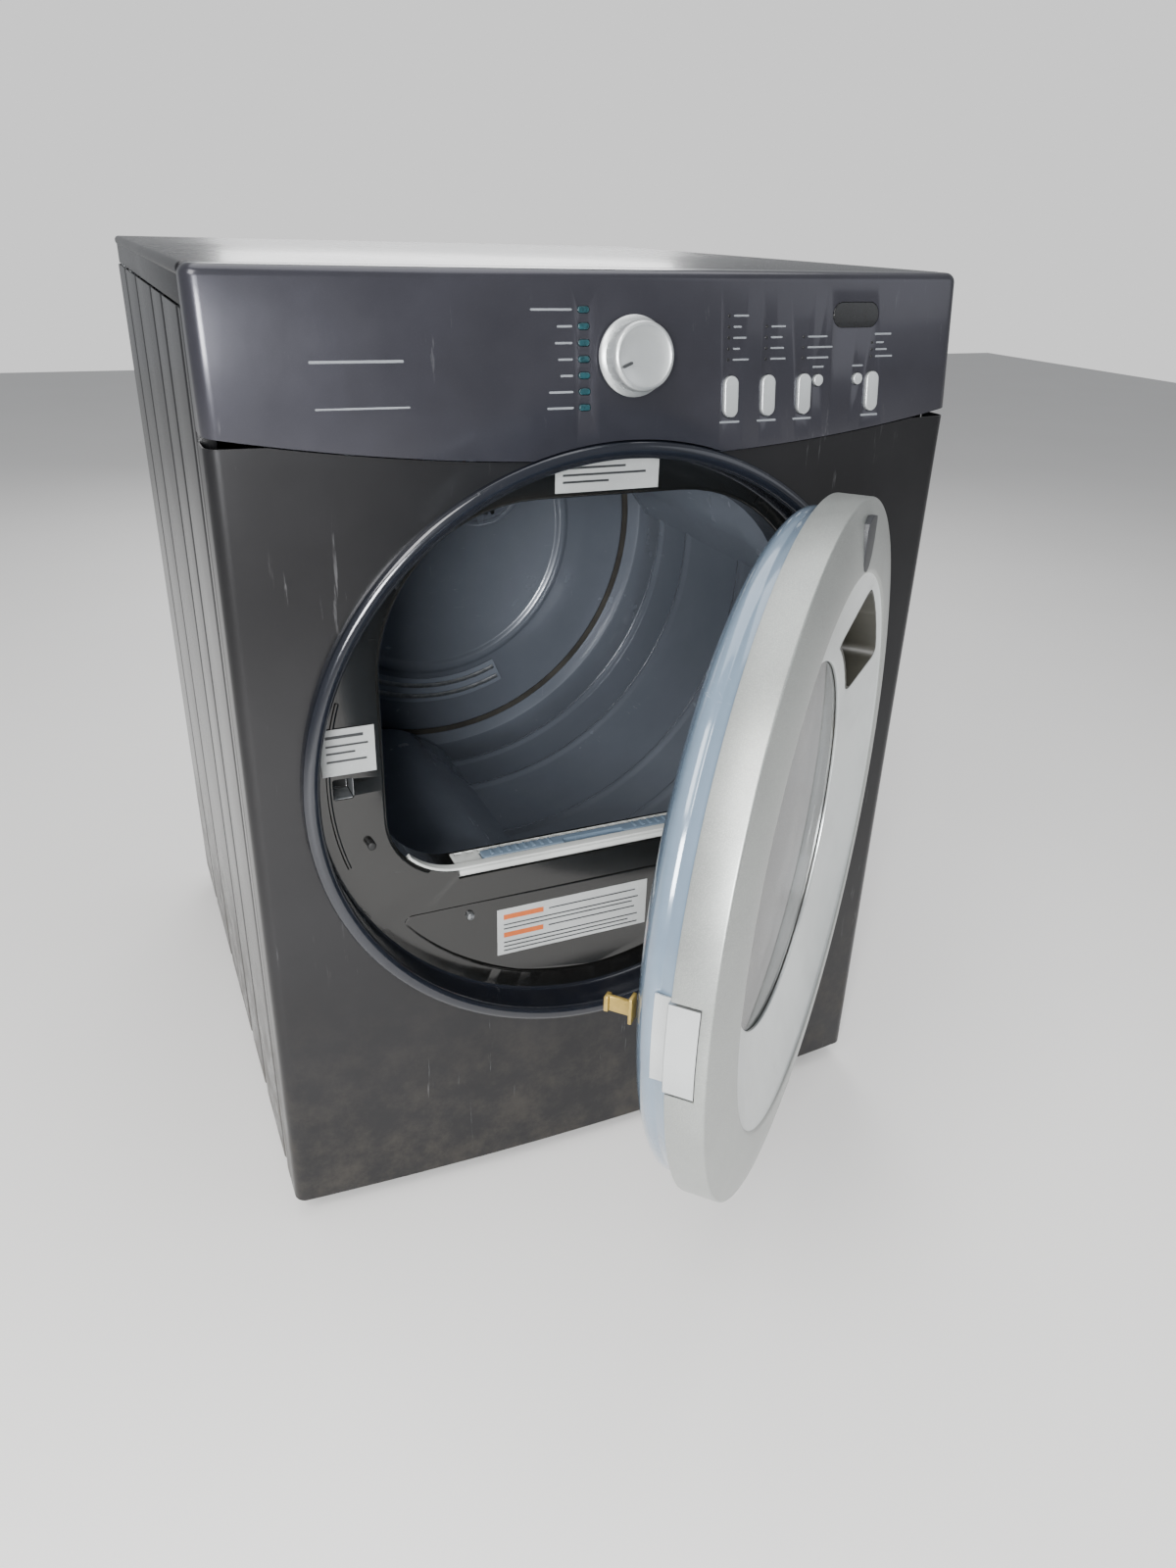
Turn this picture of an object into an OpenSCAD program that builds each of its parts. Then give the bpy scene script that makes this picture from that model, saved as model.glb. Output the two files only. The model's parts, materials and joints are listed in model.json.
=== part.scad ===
// Front-loading clothes dryer, 27 inch class, with a round side-hinged door.
// Millimetres, +Z up, front at -Y. The pieces are drawn with Y measured from the cabinet's
// front corners and then moved, so that the origin is on the floor under the middle.

/* [Cabinet] */
// Width over the side panels
cab_w = 686; // [682:1:690]
// Height of the top panel above the floor, with the feet screwed in
cab_h = 914; // [912:1:918]
// Depth from the front corners to the rear panel
cab_d = 740; // [738:1:746]
// Height of the panels' lower edge above the floor
skirt_z = 24; // [22:1:26]
// Thickness of the painted sheet steel
sheet = 1.2; // [1:0.1:1.4]
// How far the front bows out at its middle
front_bow = 14; // [12:1:16]

/* [Console] */
// Height of the console's lower corners
seam_z = 797; // [794:1:800]
// How far the console's lower edge dips at the middle
seam_dip = 28.5; // [26:0.5:30]
// Angle by which the console leans back
lean = 6.3; // [5:0.1:7]
// Height of the knob's axis
knob_z = 850; // [848:1:852]
// Radius of the knob's skirt
knob_r = 31.5; // [30:0.5:33]
// Travel of the push buttons
button_travel = 1.5; // [1:0.1:2]

/* [Door] */
// Height of the door's centre
door_z = 485; // [484:1:487]
// Outer radius of the door's silver ring
door_r = 288; // [286:0.5:289]
// Outer radius of the raised lip around the door
lip_r = 299; // [298:0.5:301]
// Radius of the recess inside the lip
recess_r = 284; // [283:0.5:285]
// Angle at which the door stands open
door_open = 43; // [30:1:60]

/* [Drum] */
// Height of the drum's axis
drum_z = 557; // [556:1:558]
// Outer radius of the drum
drum_r = 325; // [323:0.5:326]
// Radius of the drum's support rollers
roller_r = 38; // [36:1:40]

/* [Air path] */
// Outer radius of the exhaust collar, for a 4 inch duct
exhaust_r = 50.8; // [50:0.1:51]
// Height of the exhaust collar's axis
exhaust_z = 95; // [94:1:98]

/* [Hidden] */
$fn = 96;

GRAPHITE = "#3d3d42";
BLACK = "#17181a";
SILVER = "#b9bdbb";
BLUE_GREY = "#8a93a0";
STEEL = "#9da1a4";
ZINC = "#c2b58a";
FELT = "#5b5750";
DUCT = "#c9cbca";

// Clearance between neighbouring pieces, and between a pin and its bore
gap = 0.3;
running = 0.06;
half_w = cab_w / 2;
// The panels' vertical edges
corner_r = 12;
front_return = 34;
top_skirt = 30;
// The seam below the console is an arc of this radius
seam_r = (half_w * half_w + seam_dip * seam_dip) / (2 * seam_dip);
seam_gap = 1.2;
console_t = 2.5;
// Levels of the front, from the crest of the lip to the face inside it
crest_y = -19;
face_y = 20;
mouth_back = 56.5;
// Outline of the loading mouth: half width, top, bottom and the two corner radii
mouth_hw = 218;
mouth_top = 731;
mouth_bottom = 375;
mouth_r1 = 148;
mouth_r2 = 70;
collar_r = 264;
// Drum
drum_front = 64;
drum_rear = 600;
drum_mouth_r = 268;
drum_rear_r = 303;
dish_r = 296;
dish_y = 598;
bulkhead_y = 614;
vane_angles = [-104, 16, 136];
vane_ridge_r = 288;
// Drive
motor_x = -120;
motor_z = 130;
shaft_r = 6.35;
pulley_r = 10;
belt_t = 2;
belt_w = 12;
belt_y = 372;
belt_r = drum_r + gap + belt_t / 2;
belt_pulley_r = pulley_r + gap + belt_t / 2;
drive_d = sqrt(pow(motor_x, 2) + pow(drum_z - motor_z, 2));
drive_dir = atan2(motor_z - drum_z, motor_x);
wrap = acos((belt_r - belt_pulley_r) / drive_d);
idler_r = 25;
pin_r = 5;
// The idler lies against the left run of the belt, this far up from the motor pulley
idler_along = 84;
run_dir = drive_dir - wrap + 90;
idler_off = idler_r + belt_t / 2 + gap + belt_pulley_r;
idler_x = motor_x + idler_off * cos(drive_dir - wrap) - idler_along * cos(run_dir);
idler_z = motor_z + idler_off * sin(drive_dir - wrap) - idler_along * sin(run_dir);
pivot_x = -236;
pivot_z = 92;
spring_x = pivot_x - 40;
roller_angle = 32;
roller_d = drum_r + roller_r + gap;
roller_x = roller_d * sin(roller_angle);
roller_z = drum_z - roller_d * cos(roller_angle);
roller_y = 568;
roller_w = 22;
// Feet
foot_x = 300;
foot_front_y = 48;
foot_rear_y = 700;
stem_r = 5;
// Door, drawn closed and then turned about its hinge
hinge_x = 262;
hinge_y = -40;
rim_back = -25;
rim_front = -53;
crown_y = -59;
bowl_r = 233;
window_r = 157;
bowl_floor_y = -36;
notch_hz = 36;
liner_r = 277;
liner_y = 16;
cup_a = [30, 62];
duct_end = 765;
inlet_x = -230;
inlet_z = 742;
inlet_r = 14.3;
// The middle between the open door's free edge and the exhaust collar's end
mid_depth = round((duct_end + hinge_y - (hinge_x + door_r) * sin(door_open)
    + (rim_front - hinge_y) * cos(door_open)) / 2);

// ---------- helpers ----------

// Moves a piece from the cabinet's frame to the origin's
module placed() { translate([0, -mid_depth, 0]) children(); }

module box(x, y, z) { translate([x[0], y[0], z[0]]) cube([x[1] - x[0], y[1] - y[0], z[1] - z[0]]); }

// A drawing in X and Z, given a thickness along Y
module plate_y(y) { translate([0, y[1], 0]) rotate([90, 0, 0]) linear_extrude(y[1] - y[0]) children(); }

// A drawing in Y and Z, given a thickness along X
module plate_x(x) { translate([x[0], 0, 0]) rotate([90, 0, 90]) linear_extrude(x[1] - x[0]) children(); }

module rod_y(r, y, x = 0, z = 0) { translate([x, y[0], z]) rotate([-90, 0, 0]) cylinder(r = r, h = y[1] - y[0]); }

module rod_z(r, z, x = 0, y = 0) { translate([x, y, z[0]]) cylinder(r = r, h = z[1] - z[0]); }

module tube_y(r, y, x = 0, z = 0) {
    difference() {
        rod_y(r[1], y, x, z);
        rod_y(r[0], [y[0] - 1, y[1] + 1], x, z);
    }
}

// Points of [radius, y] turned about an axis along Y, all round or from angle a[0] to a[1]
module turned_y(points, z, x = 0, a = [0, 360]) {
    translate([x, 0, z]) rotate([90, 0, 0]) rotate([0, 0, a[0]])
        rotate_extrude(angle = a[1] - a[0]) polygon([for (p = points) [p[0], -p[1]]]);
}

// Depth of the bowed front at x
function bow(x) = -front_bow * (1 - pow(min(abs(x), half_w) / half_w, 2));

// Plan of the front, rounded at its corners and set in by t all round
function front_plan(t, back) = let(w = half_w - t, r = corner_r - t, n = 16, x1 = half_w - corner_r)
    concat(
        [[-w, back]],
        [for (i = [0:4]) [-x1 - r * cos(i * 18), bow(x1) + corner_r - r * sin(i * 18)]],
        [for (i = [0:n]) [-x1 + 2 * x1 * i / n, bow(-x1 + 2 * x1 * i / n) + t]],
        [for (i = [4:-1:0]) [x1 + r * cos(i * 18), bow(x1) + corner_r - r * sin(i * 18)]],
        [[w, back]]);

// The console's block, set in by t: the front's plan, rounded over at the top and leaning back
module console_block(t) {
    k = tan(lean);
    r = 9;
    multmatrix([[1, 0, 0, 0], [0, 1, k, -k * seam_z], [0, 0, 1, 0]]) hull() {
        translate([0, 0, seam_z - 60]) linear_extrude(cab_h - r - seam_z + 60) polygon(front_plan(t, 80));
        for (a = [30, 60, 90]) translate([0, 0, cab_h - t - 0.01 - (r - t) * (1 - sin(a))])
            linear_extrude(0.01) polygon(front_plan(t + (r - t) * (1 - cos(a)), 80));
    }
}

// Outline of the loading mouth, wider by g all round
module mouth(g = 0) {
    x1 = mouth_hw - mouth_r1;
    z1 = mouth_top - mouth_r1;
    x2 = mouth_hw - mouth_r2;
    z2 = mouth_bottom + mouth_r2;
    translate([-mouth_hw - g, z2]) square([2 * (mouth_hw + g), z1 - z2]);
    translate([-x1, z1 - 1]) square([2 * x1, mouth_r1 + g + 1]);
    translate([-x2, mouth_bottom - g]) square([2 * x2, mouth_r2 + g + 1]);
    for (s = [-1, 1]) {
        translate([s * x1, z1]) circle(mouth_r1 + g);
        translate([s * x2, z2]) circle(mouth_r2 + g);
    }
}

// An upright slot with round ends
module pill(w, h) {
    square([w, h - w], center = true);
    for (s = [-1, 1]) translate([0, s * (h - w) / 2]) circle(w / 2);
}

// Places a drawing on the console's face at x and z, with +Z pointing out of the face
module on_console(x, z) {
    translate([x, bow(x) + tan(lean) * (z - seam_z), z])
        rotate([0, 0, atan(2 * front_bow * x / pow(half_w, 2))]) rotate([90 - lean, 0, 0]) children();
}

// Turns a closed door piece to where the door stands open
module on_door() {
    translate([hinge_x, hinge_y, 0]) rotate([0, 0, door_open]) translate([-hinge_x, -hinge_y, 0]) children();
}

// ---------- cabinet ----------

module base_pan() {
    w = half_w - 17;
    placed() color(STEEL) difference() {
        union() {
            box([-w, w], [16, 737], [skirt_z + 4, skirt_z + 4 + sheet]);
            for (x = [-w, w - sheet]) box([x, x + sheet], [16, 737], [skirt_z, skirt_z + 26]);
            for (y = [16, 737 - sheet]) box([-w, w], [y, y + sheet], [skirt_z, skirt_z + 26]);
            for (x = [-foot_x, foot_x], y = [foot_front_y, foot_rear_y]) rod_z(13, [skirt_z + 4, skirt_z + 20], x, y);
        }
        for (x = [-foot_x, foot_x], y = [foot_front_y, foot_rear_y]) rod_z(stem_r + running, [0, 100], x, y);
        rod_y(exhaust_r + 1, [734, 740], 0, exhaust_z);
    }
}

// Plan of a side panel: a sheet with turned-in edges and upright beads pressed into it
module side_plan() {
    x = half_w;
    edges = [front_return + 1, cab_d - 2];
    bead = [[-7, 0], [-3, 3], [3, 3], [7, 0]];
    outer = concat([[x, edges[0]]], [for (b = [62, 188, 290, 466, 622], p = bead) [x - p[1], b + p[0]]], [[x, edges[1]]]);
    polygon(concat(outer, [for (i = [len(outer) - 1:-1:0]) outer[i] - [sheet, 0]]));
    for (y = [edges[0], edges[1] - sheet]) translate([x - 16, y]) square([16, sheet]);
}

module side_panel() {
    color(GRAPHITE) translate([0, 0, skirt_z]) linear_extrude(cab_h - top_skirt - 1 - skirt_z) side_plan();
}

module left_side_panel() { placed() mirror([1, 0, 0]) side_panel(); }

module right_side_panel() { placed() side_panel(); }

module rear_panel() {
    placed() color(STEEL) difference() {
        box([-341, 341], [cab_d - sheet, cab_d], [skirt_z + 6, cab_h - top_skirt - 1]);
        rod_y(exhaust_r + 3, [cab_d - 10, cab_d + 10], 0, exhaust_z);
        rod_y(inlet_r, [cab_d - 10, cab_d + 10], inlet_x, inlet_z);
        box([inlet_x - 40, inlet_x + 40], [cab_d - 10, cab_d + 10], [inlet_z + 26, inlet_z + 86]);
        for (i = [0:9], s = [-1, 1]) box([s * 200 - 40, s * 200 + 40], [cab_d - 10, cab_d + 10], [180 + 14 * i, 184 + 14 * i]);
        for (i = [0:5]) box([60, 260], [cab_d - 10, cab_d + 10], [700 + 14 * i, 704 + 14 * i]);
    }
}

module top_panel() {
    placed() color(GRAPHITE) difference() {
        box([-half_w, half_w], [front_return + 1, cab_d + 2], [cab_h - top_skirt, cab_h]);
        box([-half_w + sheet, half_w - sheet], [front_return - 9, cab_d + 2 - sheet], [0, cab_h - sheet]);
    }
}

// Below the seam, to the edge of the hole that the lip surrounds
module front_panel() {
    placed() color(GRAPHITE) {
        difference() {
            intersection() {
                difference() {
                    translate([0, 0, skirt_z]) linear_extrude(cab_h) polygon(front_plan(0, front_return));
                    translate([0, 0, skirt_z - 1]) linear_extrude(cab_h) polygon(front_plan(sheet, front_return + 1));
                }
                plate_y([-100, 100]) difference() {
                    translate([-half_w, 0]) square([cab_w, cab_h]);
                    translate([0, seam_z - seam_dip + seam_r]) circle(seam_r, $fn = 720);
                    // the console's corners beyond the seam's arc
                    translate([-half_w, seam_z]) square([cab_w, cab_h]);
                }
            }
            rod_y(lip_r - 1, [-100, 30], 0, door_z);
        }
        lip();
    }
}

// The raised lip: a formed edge from the front's surface over a crest to the recess
module lip() {
    r = (lip_r - recess_r) / 2;
    mid = recess_r + r;
    turned_y(concat(
        [[lip_r, 4], [lip_r, crest_y + 5]],
        [for (i = [1:5]) [mid + r * cos(i * 36), crest_y + 5 - 5 * sin(i * 36)]],
        [[recess_r, face_y - 0.3], [recess_r + sheet, face_y - 0.3]],
        [for (i = [5:-1:0]) [mid + (r - sheet) * cos(i * 36), crest_y + 5 - (5 - sheet) * sin(i * 36)]],
        [[lip_r - sheet, 4]]), door_z);
}

module control_panel() {
    placed() color(GRAPHITE) difference() {
        intersection() {
            console_block(0);
            console_above(seam_gap);
        }
        console_block(console_t);
        rod_y(lip_r + 0.8, [-100, 100], 0, door_z);
        on_console(0, knob_z) cylinder(r = 5, h = 60, center = true);
        for (x = [94, 132, 170, 246]) on_console(x, 816) linear_extrude(40, center = true) pill(14.8, 34.8);
        for (x = [185, 229]) on_console(x, 827) linear_extrude(40, center = true) circle(5.4);
        on_console(224, 880) linear_extrude(40, center = true) rotate(90) pill(21, 51);
        for (p = indicator_spots()) on_console(p[0], p[1]) linear_extrude(40, center = true) rotate(90) pill(5.6, 10.6);
        for (p = lamp_spots()) on_console(p[0], p[1]) linear_extrude(40, center = true) circle(1.8);
    }
}

// The space above the seam's arc
module console_above(g) {
    intersection() {
        rod_y(seam_r - g, [-100, 200], 0, seam_z - seam_dip + seam_r, $fn = 720);
        box([-half_w - 1, half_w + 1], [-100, front_return], [0, cab_h + 1]);
    }
}

function indicator_spots() = [for (i = [0:6]) [-43, 885 - 12.2 * i]];

function lamp_spots() = concat(
    [for (i = [0:4]) [91, 880 - 8.6 * i]],
    [for (i = [0:3]) [129, 871.4 - 8.6 * i]],
    [for (i = [0:2]) [168, 862.8 - 8.6 * i]],
    [for (i = [0:2]) [244, 857 - 5.8 * i]]);

// The board with its encoder, whose shaft is the knob's
module control_board() {
    placed() color("#2f5d3a") {
        difference() {
            on_console(0, 848) translate([-60, -40, -24]) cube([340, 84, 1.6]);
            on_console(0, knob_z) cylinder(r = 5, h = 60, center = true);
        }
        difference() {
            on_console(0, knob_z) translate([-9, -9, -22.4]) cube([18, 18, 8]);
            on_console(0, knob_z) cylinder(r = 3 + running, h = 60, center = true);
        }
    }
}

// One clear moulding per opening: the display's window, the cycle pills and the lamp dots
module console_lenses() {
    placed() color("#1f4a4f") {
        on_console(224, 880) translate([0, 0, -6]) linear_extrude(5.4) rotate(90) pill(20.4, 50.4);
        for (p = indicator_spots()) on_console(p[0], p[1]) translate([0, 0, -6]) linear_extrude(6.4) rotate(90) pill(5, 10);
        for (p = lamp_spots()) on_console(p[0], p[1]) translate([0, 0, -6]) cylinder(r = 1.5, h = 6.3);
    }
}

// The knob's skirt, grip and shaft
module cycle_knob() {
    placed() color(SILVER) on_console(0, knob_z) difference() {
        union() {
            rotate_extrude() polygon([[0, 2], [knob_r, 2], [knob_r, 5], [knob_r - 2.5, 8], [knob_r - 4, 22], [knob_r - 6, 24.5], [0, 25.5]]);
            translate([0, 0, -20]) cylinder(r = 3, h = 24);
        }
        for (a = [0:15:345]) rotate(a) translate([knob_r - 1.8, 0, 8]) cylinder(r = 0.8, h = 15);
    }
}

module push_button(x, z) {
    placed() color(SILVER) on_console(x, z) translate([0, 0, -8]) linear_extrude(10.5) children();
}

module temperature_button() { push_button(94, 816) pill(14, 34); }

module dryness_button() { push_button(132, 816) pill(14, 34); }

module options_button() { push_button(170, 816) pill(14, 34); }

module start_button() { push_button(246, 816) pill(14, 34); }

module select_button() { push_button(185, 827) circle(4.9); }

module cancel_button() { push_button(229, 827) circle(4.9); }

// ---------- front bulkhead and air outlet ----------

// The dark face inside the lip, the loading mouth's tunnel, and the wall that carries the drum's front
module front_bulkhead() {
    placed() color(BLACK) difference() {
        union() {
            plate_y([face_y, face_y + 1.5]) difference() {
                translate([0, door_z]) circle(297);
                mouth();
            }
            plate_y([face_y, mouth_back + 1.5]) difference() {
                mouth(2);
                mouth();
            }
            plate_y([mouth_back, mouth_back + 1.5]) difference() {
                translate([-338, 240]) square([676, 640]);
                mouth();
            }
            tube_y([collar_r - 1.5, collar_r], [mouth_back, 80], 0, drum_z);
        }
        // the sill takes the tunnel's floor
        box([-151, 151], [face_y - 5, mouth_back], [366.3, 380]);
        rod_y(collar_r - 1.5, [mouth_back + 1.6, 90], 0, drum_z);
        // the latch's and the door switch's windows
        box([-266.5, -247.5], [face_y - 5, face_y + 5], [door_z - 10.5, door_z + 10.5]);
        rod_y(4.4, [face_y - 5, face_y + 5], -236, door_z - 60);
        // the relief under the mouth
        plate_y([face_y - 1, face_y + 0.7]) intersection() {
            translate([0, door_z]) circle(261);
            translate([-207, 200]) square([414, 133]);
        }
    }
}

// The box behind the face that holds the strike, with its two spring jaws
module latch_catch() {
    placed() color(ZINC) difference() {
        box([-270, -244], [face_y + 1.8, face_y + 30], [door_z - 14, door_z + 14]);
        box([-266, -248], [face_y, face_y + 28], [door_z - 10, door_z + 10]);
    }
}

module door_switch() {
    placed() color(BLACK) difference() {
        box([-243.7, -228], [face_y + 1.8, face_y + 26], [door_z - 74, door_z - 46]);
        rod_y(4 + running, [face_y, face_y + 24], -236, door_z - 60);
    }
}

module switch_plunger() {
    placed() color(SILVER) rod_y(4, [face_y - 8.2, face_y + 16], -236, door_z - 60);
}

module front_seal() { placed() color(FELT) tube_y([collar_r + gap, drum_mouth_r - gap], [60, 79], 0, drum_z); }

// The light strip along the foot of the mouth, with the lint filter's slot
module sill_grille() {
    placed() color(SILVER) difference() {
        box([-150, 150], [face_y - 4, mouth_back - gap], [367, 375]);
        box([-122, 122], [30, 48], [360, 380]);
        for (i = [0:9]) box([-147 + 29.6 * i, -124 + 29.6 * i], [50.4, 54], [360, 380]);
    }
}

// From the sill down to the blower's inlet
module lint_duct() {
    placed() color(DUCT) difference() {
        union() {
            box([-150, 150], [24, 56], [230, 366.6]);
            box([-200, -40], [24, 56], [60, 231]);
        }
        box([-148, 148], [26, 54], [232, 380]);
        box([-198, -42], [26, 54], [62, 233]);
        rod_y(60, [50, 60], motor_x, motor_z);
    }
}

module lint_filter_frame() {
    placed() color(BLUE_GREY) difference() {
        union() {
            box([-121, 121], [31, 47], [366, 378]);
            box([-120, 120], [35, 43], [240, 367]);
        }
        box([-112, 112], [30, 50], [248, 358]);
        box([-30, 30], [30, 39], [371, 380]);
    }
}

module lint_filter_mesh() { placed() color("#d8d8d2") box([-111.7, 111.7], [38, 40], [248.3, 357.7]); }

// ---------- drum ----------

module drum_shell() {
    t = sheet;
    beads = [for (y = [150, 230, 310, 450, 530]) y];
    outside = concat(
        [[drum_mouth_r, drum_front], [drum_r - 26, drum_front], [drum_r, drum_front + 22]],
        [for (b = beads, p = [[-9, 0], [-3, 3], [3, 3], [9, 0]]) [drum_r - p[1], b + p[0]]],
        [[drum_r, drum_rear], [drum_rear_r, drum_rear]]);
    inside = concat(
        [[drum_rear_r, drum_rear - t], [drum_r - t, drum_rear - t]],
        [for (i = [len(beads) - 1:-1:0], p = [[9, 0], [3, 3], [-3, 3], [-9, 0]]) [drum_r - t - p[1], beads[i] + p[0]]],
        [[drum_r - t, drum_front + 22.5], [drum_r - 26.5, drum_front + t], [drum_mouth_r, drum_front + t]]);
    placed() color(BLUE_GREY) turned_y(concat(outside, inside), drum_z);
}

// Three wedge-shaped lifters screwed to the wall in the rear half
module drum_baffles() {
    foot = drum_r - 20;
    rear = 594;
    placed() color(BLUE_GREY) translate([0, 0, drum_z]) for (a = vane_angles) rotate([0, -a, 0]) polyhedron(
        points = [
            [foot, 130, -96], [foot, 130, 96], [foot, rear, 96], [foot, rear, -96],
            [vane_ridge_r, 250, -16], [vane_ridge_r, 250, 16], [vane_ridge_r, rear, 16], [vane_ridge_r, rear, -16],
            [foot + 14, 130, 0], [foot + 14, rear, 0]],
        faces = [
            [4, 7, 6, 5], [0, 4, 5, 1], [0, 3, 7, 4], [1, 5, 6, 2], [3, 2, 6, 7],
            [0, 1, 8], [0, 8, 9, 3], [1, 2, 9, 8], [3, 9, 2]]);
}

// The fixed wall behind the drum: a sheet with a dish that faces into the drum
module rear_bulkhead() {
    t = sheet;
    placed() color(BLUE_GREY) difference() {
        union() {
            plate_y([bulkhead_y, bulkhead_y + t]) difference() {
                translate([-338, 205]) square([676, 675]);
                translate([0, drum_z]) circle(dish_r - t);
            }
            turned_y([[dish_r, bulkhead_y + t], [dish_r, dish_y + 4], [dish_r - 6, dish_y], [205, dish_y - 4],
                [200, dish_y - 9], [190, dish_y - 9], [185, dish_y - 4], [0, dish_y - 4], [0, dish_y - 4 + t],
                [185.6, dish_y - 4 + t], [190.6, dish_y - 9 + t], [199.4, dish_y - 9 + t], [204.5, dish_y - 4 + t],
                [dish_r - 6.5, dish_y + t], [dish_r - t, dish_y + 4.5], [dish_r - t, bulkhead_y + t]], drum_z);
            for (s = [-1, 1]) rod_y(6, [roller_y - 4, bulkhead_y + t], s * roller_x, roller_z);
        }
        // the hot air inlet, a round field of six-sided holes
        for (i = [-3:3], j = [-3:3]) let(x = 70 + 17 * i + 8.5 * (j % 2), z = 632 + 15 * j)
            if (norm([x - 70, z - 632]) < 56) translate([x, dish_y, z]) rotate([90, 0, 0]) cylinder(r = 5, h = 30, center = true, $fn = 6);
    }
}

module rear_seal() { placed() color(FELT) tube_y([dish_r + gap, 316], [drum_rear + 1, drum_rear + 12], 0, drum_z); }

// Two curved contact bars on a carrier, low on the dish
module moisture_sensor() {
    y = dish_y - 4.3;
    bar = y - 4.5;
    placed() color("#3a4048") turned_y([
        [212, y], [248, y], [248, y - 2], [241, y - 2], [241, bar], [235, bar], [235, y - 2],
        [225, y - 2], [225, bar], [219, bar], [219, y - 2], [212, y - 2]], drum_z, 0, [-114, -66]);
}

module drum_roller(s) {
    placed() color("#2a2b2d") tube_y([6 + running, roller_r], [roller_y, roller_y + roller_w], s * roller_x, roller_z);
}

module left_roller() { drum_roller(-1); }

module right_roller() { drum_roller(1); }

// ---------- heater ----------

module heater_housing() {
    t = sheet;
    y = bulkhead_y + t + gap;
    placed() color(STEEL) {
        difference() {
            union() {
                box([-20, 160], [y, y + 84], [540, 724]);
                box([20, 120], [y, y + 84], [400, 541]);
            }
            box([-20 + t, 160 - t], [y - 1, y + 84 - t], [540 + t, 724 - t]);
            box([20 + t, 120 - t], [y - 1, y + 84 - t], [390, 545]);
        }
        // the thermostats screwed to its back
        for (z = [600, 680]) rod_y(9, [y + 84 - 0.1, y + 98], 70, z);
    }
}

// Rings of resistance wire on a cross of insulators
module heater_element() {
    y = bulkhead_y + 40;
    placed() color("#77553f") {
        for (r = [30, 50, 70]) translate([70, y, 632]) rotate([90, 0, 0]) rotate_extrude() translate([r, 0]) circle(3, $fn = 24);
        box([-5, 145], [y - 2, y + 2], [629, 635]);
        box([67, 73], [y - 2, y + 2], [557, 707]);
    }
}

// ---------- blower, motor and belt ----------

module blower_housing() {
    placed() color(DUCT) difference() {
        union() {
            rod_y(95, [57, 136], motor_x, motor_z);
            box([motor_x, 56], [57, 136], [exhaust_z - 56, exhaust_z + 56]);
        }
        rod_y(92, [59, 134], motor_x, motor_z);
        box([motor_x, 54], [59, 134], [exhaust_z - 54, exhaust_z + 54]);
        rod_y(60, [50, 60], motor_x, motor_z);
        rod_y(shaft_r + 2, [130, 140], motor_x, motor_z);
        rod_y(exhaust_r - 4, [130, 140], 0, exhaust_z);
    }
}

module blower_wheel() {
    placed() color("#b8bab6") difference() {
        union() {
            rod_y(80, [120, 123], motor_x, motor_z);
            tube_y([66, 80], [66, 69], motor_x, motor_z);
            rod_y(14, [96, 123], motor_x, motor_z);
            for (a = [0:15:345]) translate([motor_x, 0, motor_z]) rotate([0, a, 0]) box([66, 79.6], [68, 121], [-0.9, 0.9]);
        }
        rod_y(shaft_r + 0.02, [60, 130], motor_x, motor_z);
    }
}

module exhaust_duct() {
    placed() color(STEEL) union() {
        tube_y([exhaust_r - 3.8, exhaust_r - 2.8], [136.4, 742], 0, exhaust_z);
        tube_y([exhaust_r - 3.8, exhaust_r], [741, 742.4], 0, exhaust_z);
        tube_y([exhaust_r - 1.2, exhaust_r], [741, duct_end], 0, exhaust_z);
    }
}

// The stator in its shell, with a bearing in each end bell
module motor_housing() {
    bore = shaft_r + running;
    placed() color("#6b6e70") turned_y([
        [bore, 160], [22, 160], [24, 166], [60, 172], [60, 308], [24, 314], [22, 320], [bore, 320],
        [bore, 306], [20, 306], [56, 301], [56, 285], [36, 285], [36, 195], [56, 195], [56, 179], [20, 174], [bore, 174]],
        motor_z, motor_x);
}

// Holds the motor, and carries the idler's pivot and the hook for its spring
module motor_cradle() {
    z0 = skirt_z + 4 + sheet + 0.2;
    placed() color(STEEL) {
        difference() {
            union() {
                box([-186, -60], [176, 352], [z0, z0 + 2]);
                box([-300, -180], [336, 352], [z0, z0 + 2]);
                for (y = [190, 286]) box([-176, -64], [y, y + 2], [z0, 104]);
                box([-256, -216], [350, 352], [z0, 108]);
                box([spring_x - 14, spring_x - 10], [348, 352], [z0, 168]);
            box([spring_x - 14, spring_x + 8], [348, 362], [164, 168]);
            }
            rod_y(60 + gap, [150, 330], motor_x, motor_z);
        }
        rod_y(pin_r, [351, 368], pivot_x, pivot_z);
    }
}

// The shaft with the belt's grooved pulley turned on it
module motor_shaft() {
    placed() color(STEEL) turned_y([
        [0, 70], [shaft_r, 70], [shaft_r, belt_y - 12], [pulley_r + 4, belt_y - 12], [pulley_r + 4, belt_y - 9],
        [pulley_r, belt_y - 8], [pulley_r, belt_y + 8], [pulley_r + 4, belt_y + 9], [pulley_r + 4, belt_y + 12], [0, belt_y + 12]],
        motor_z, motor_x);
}

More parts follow.
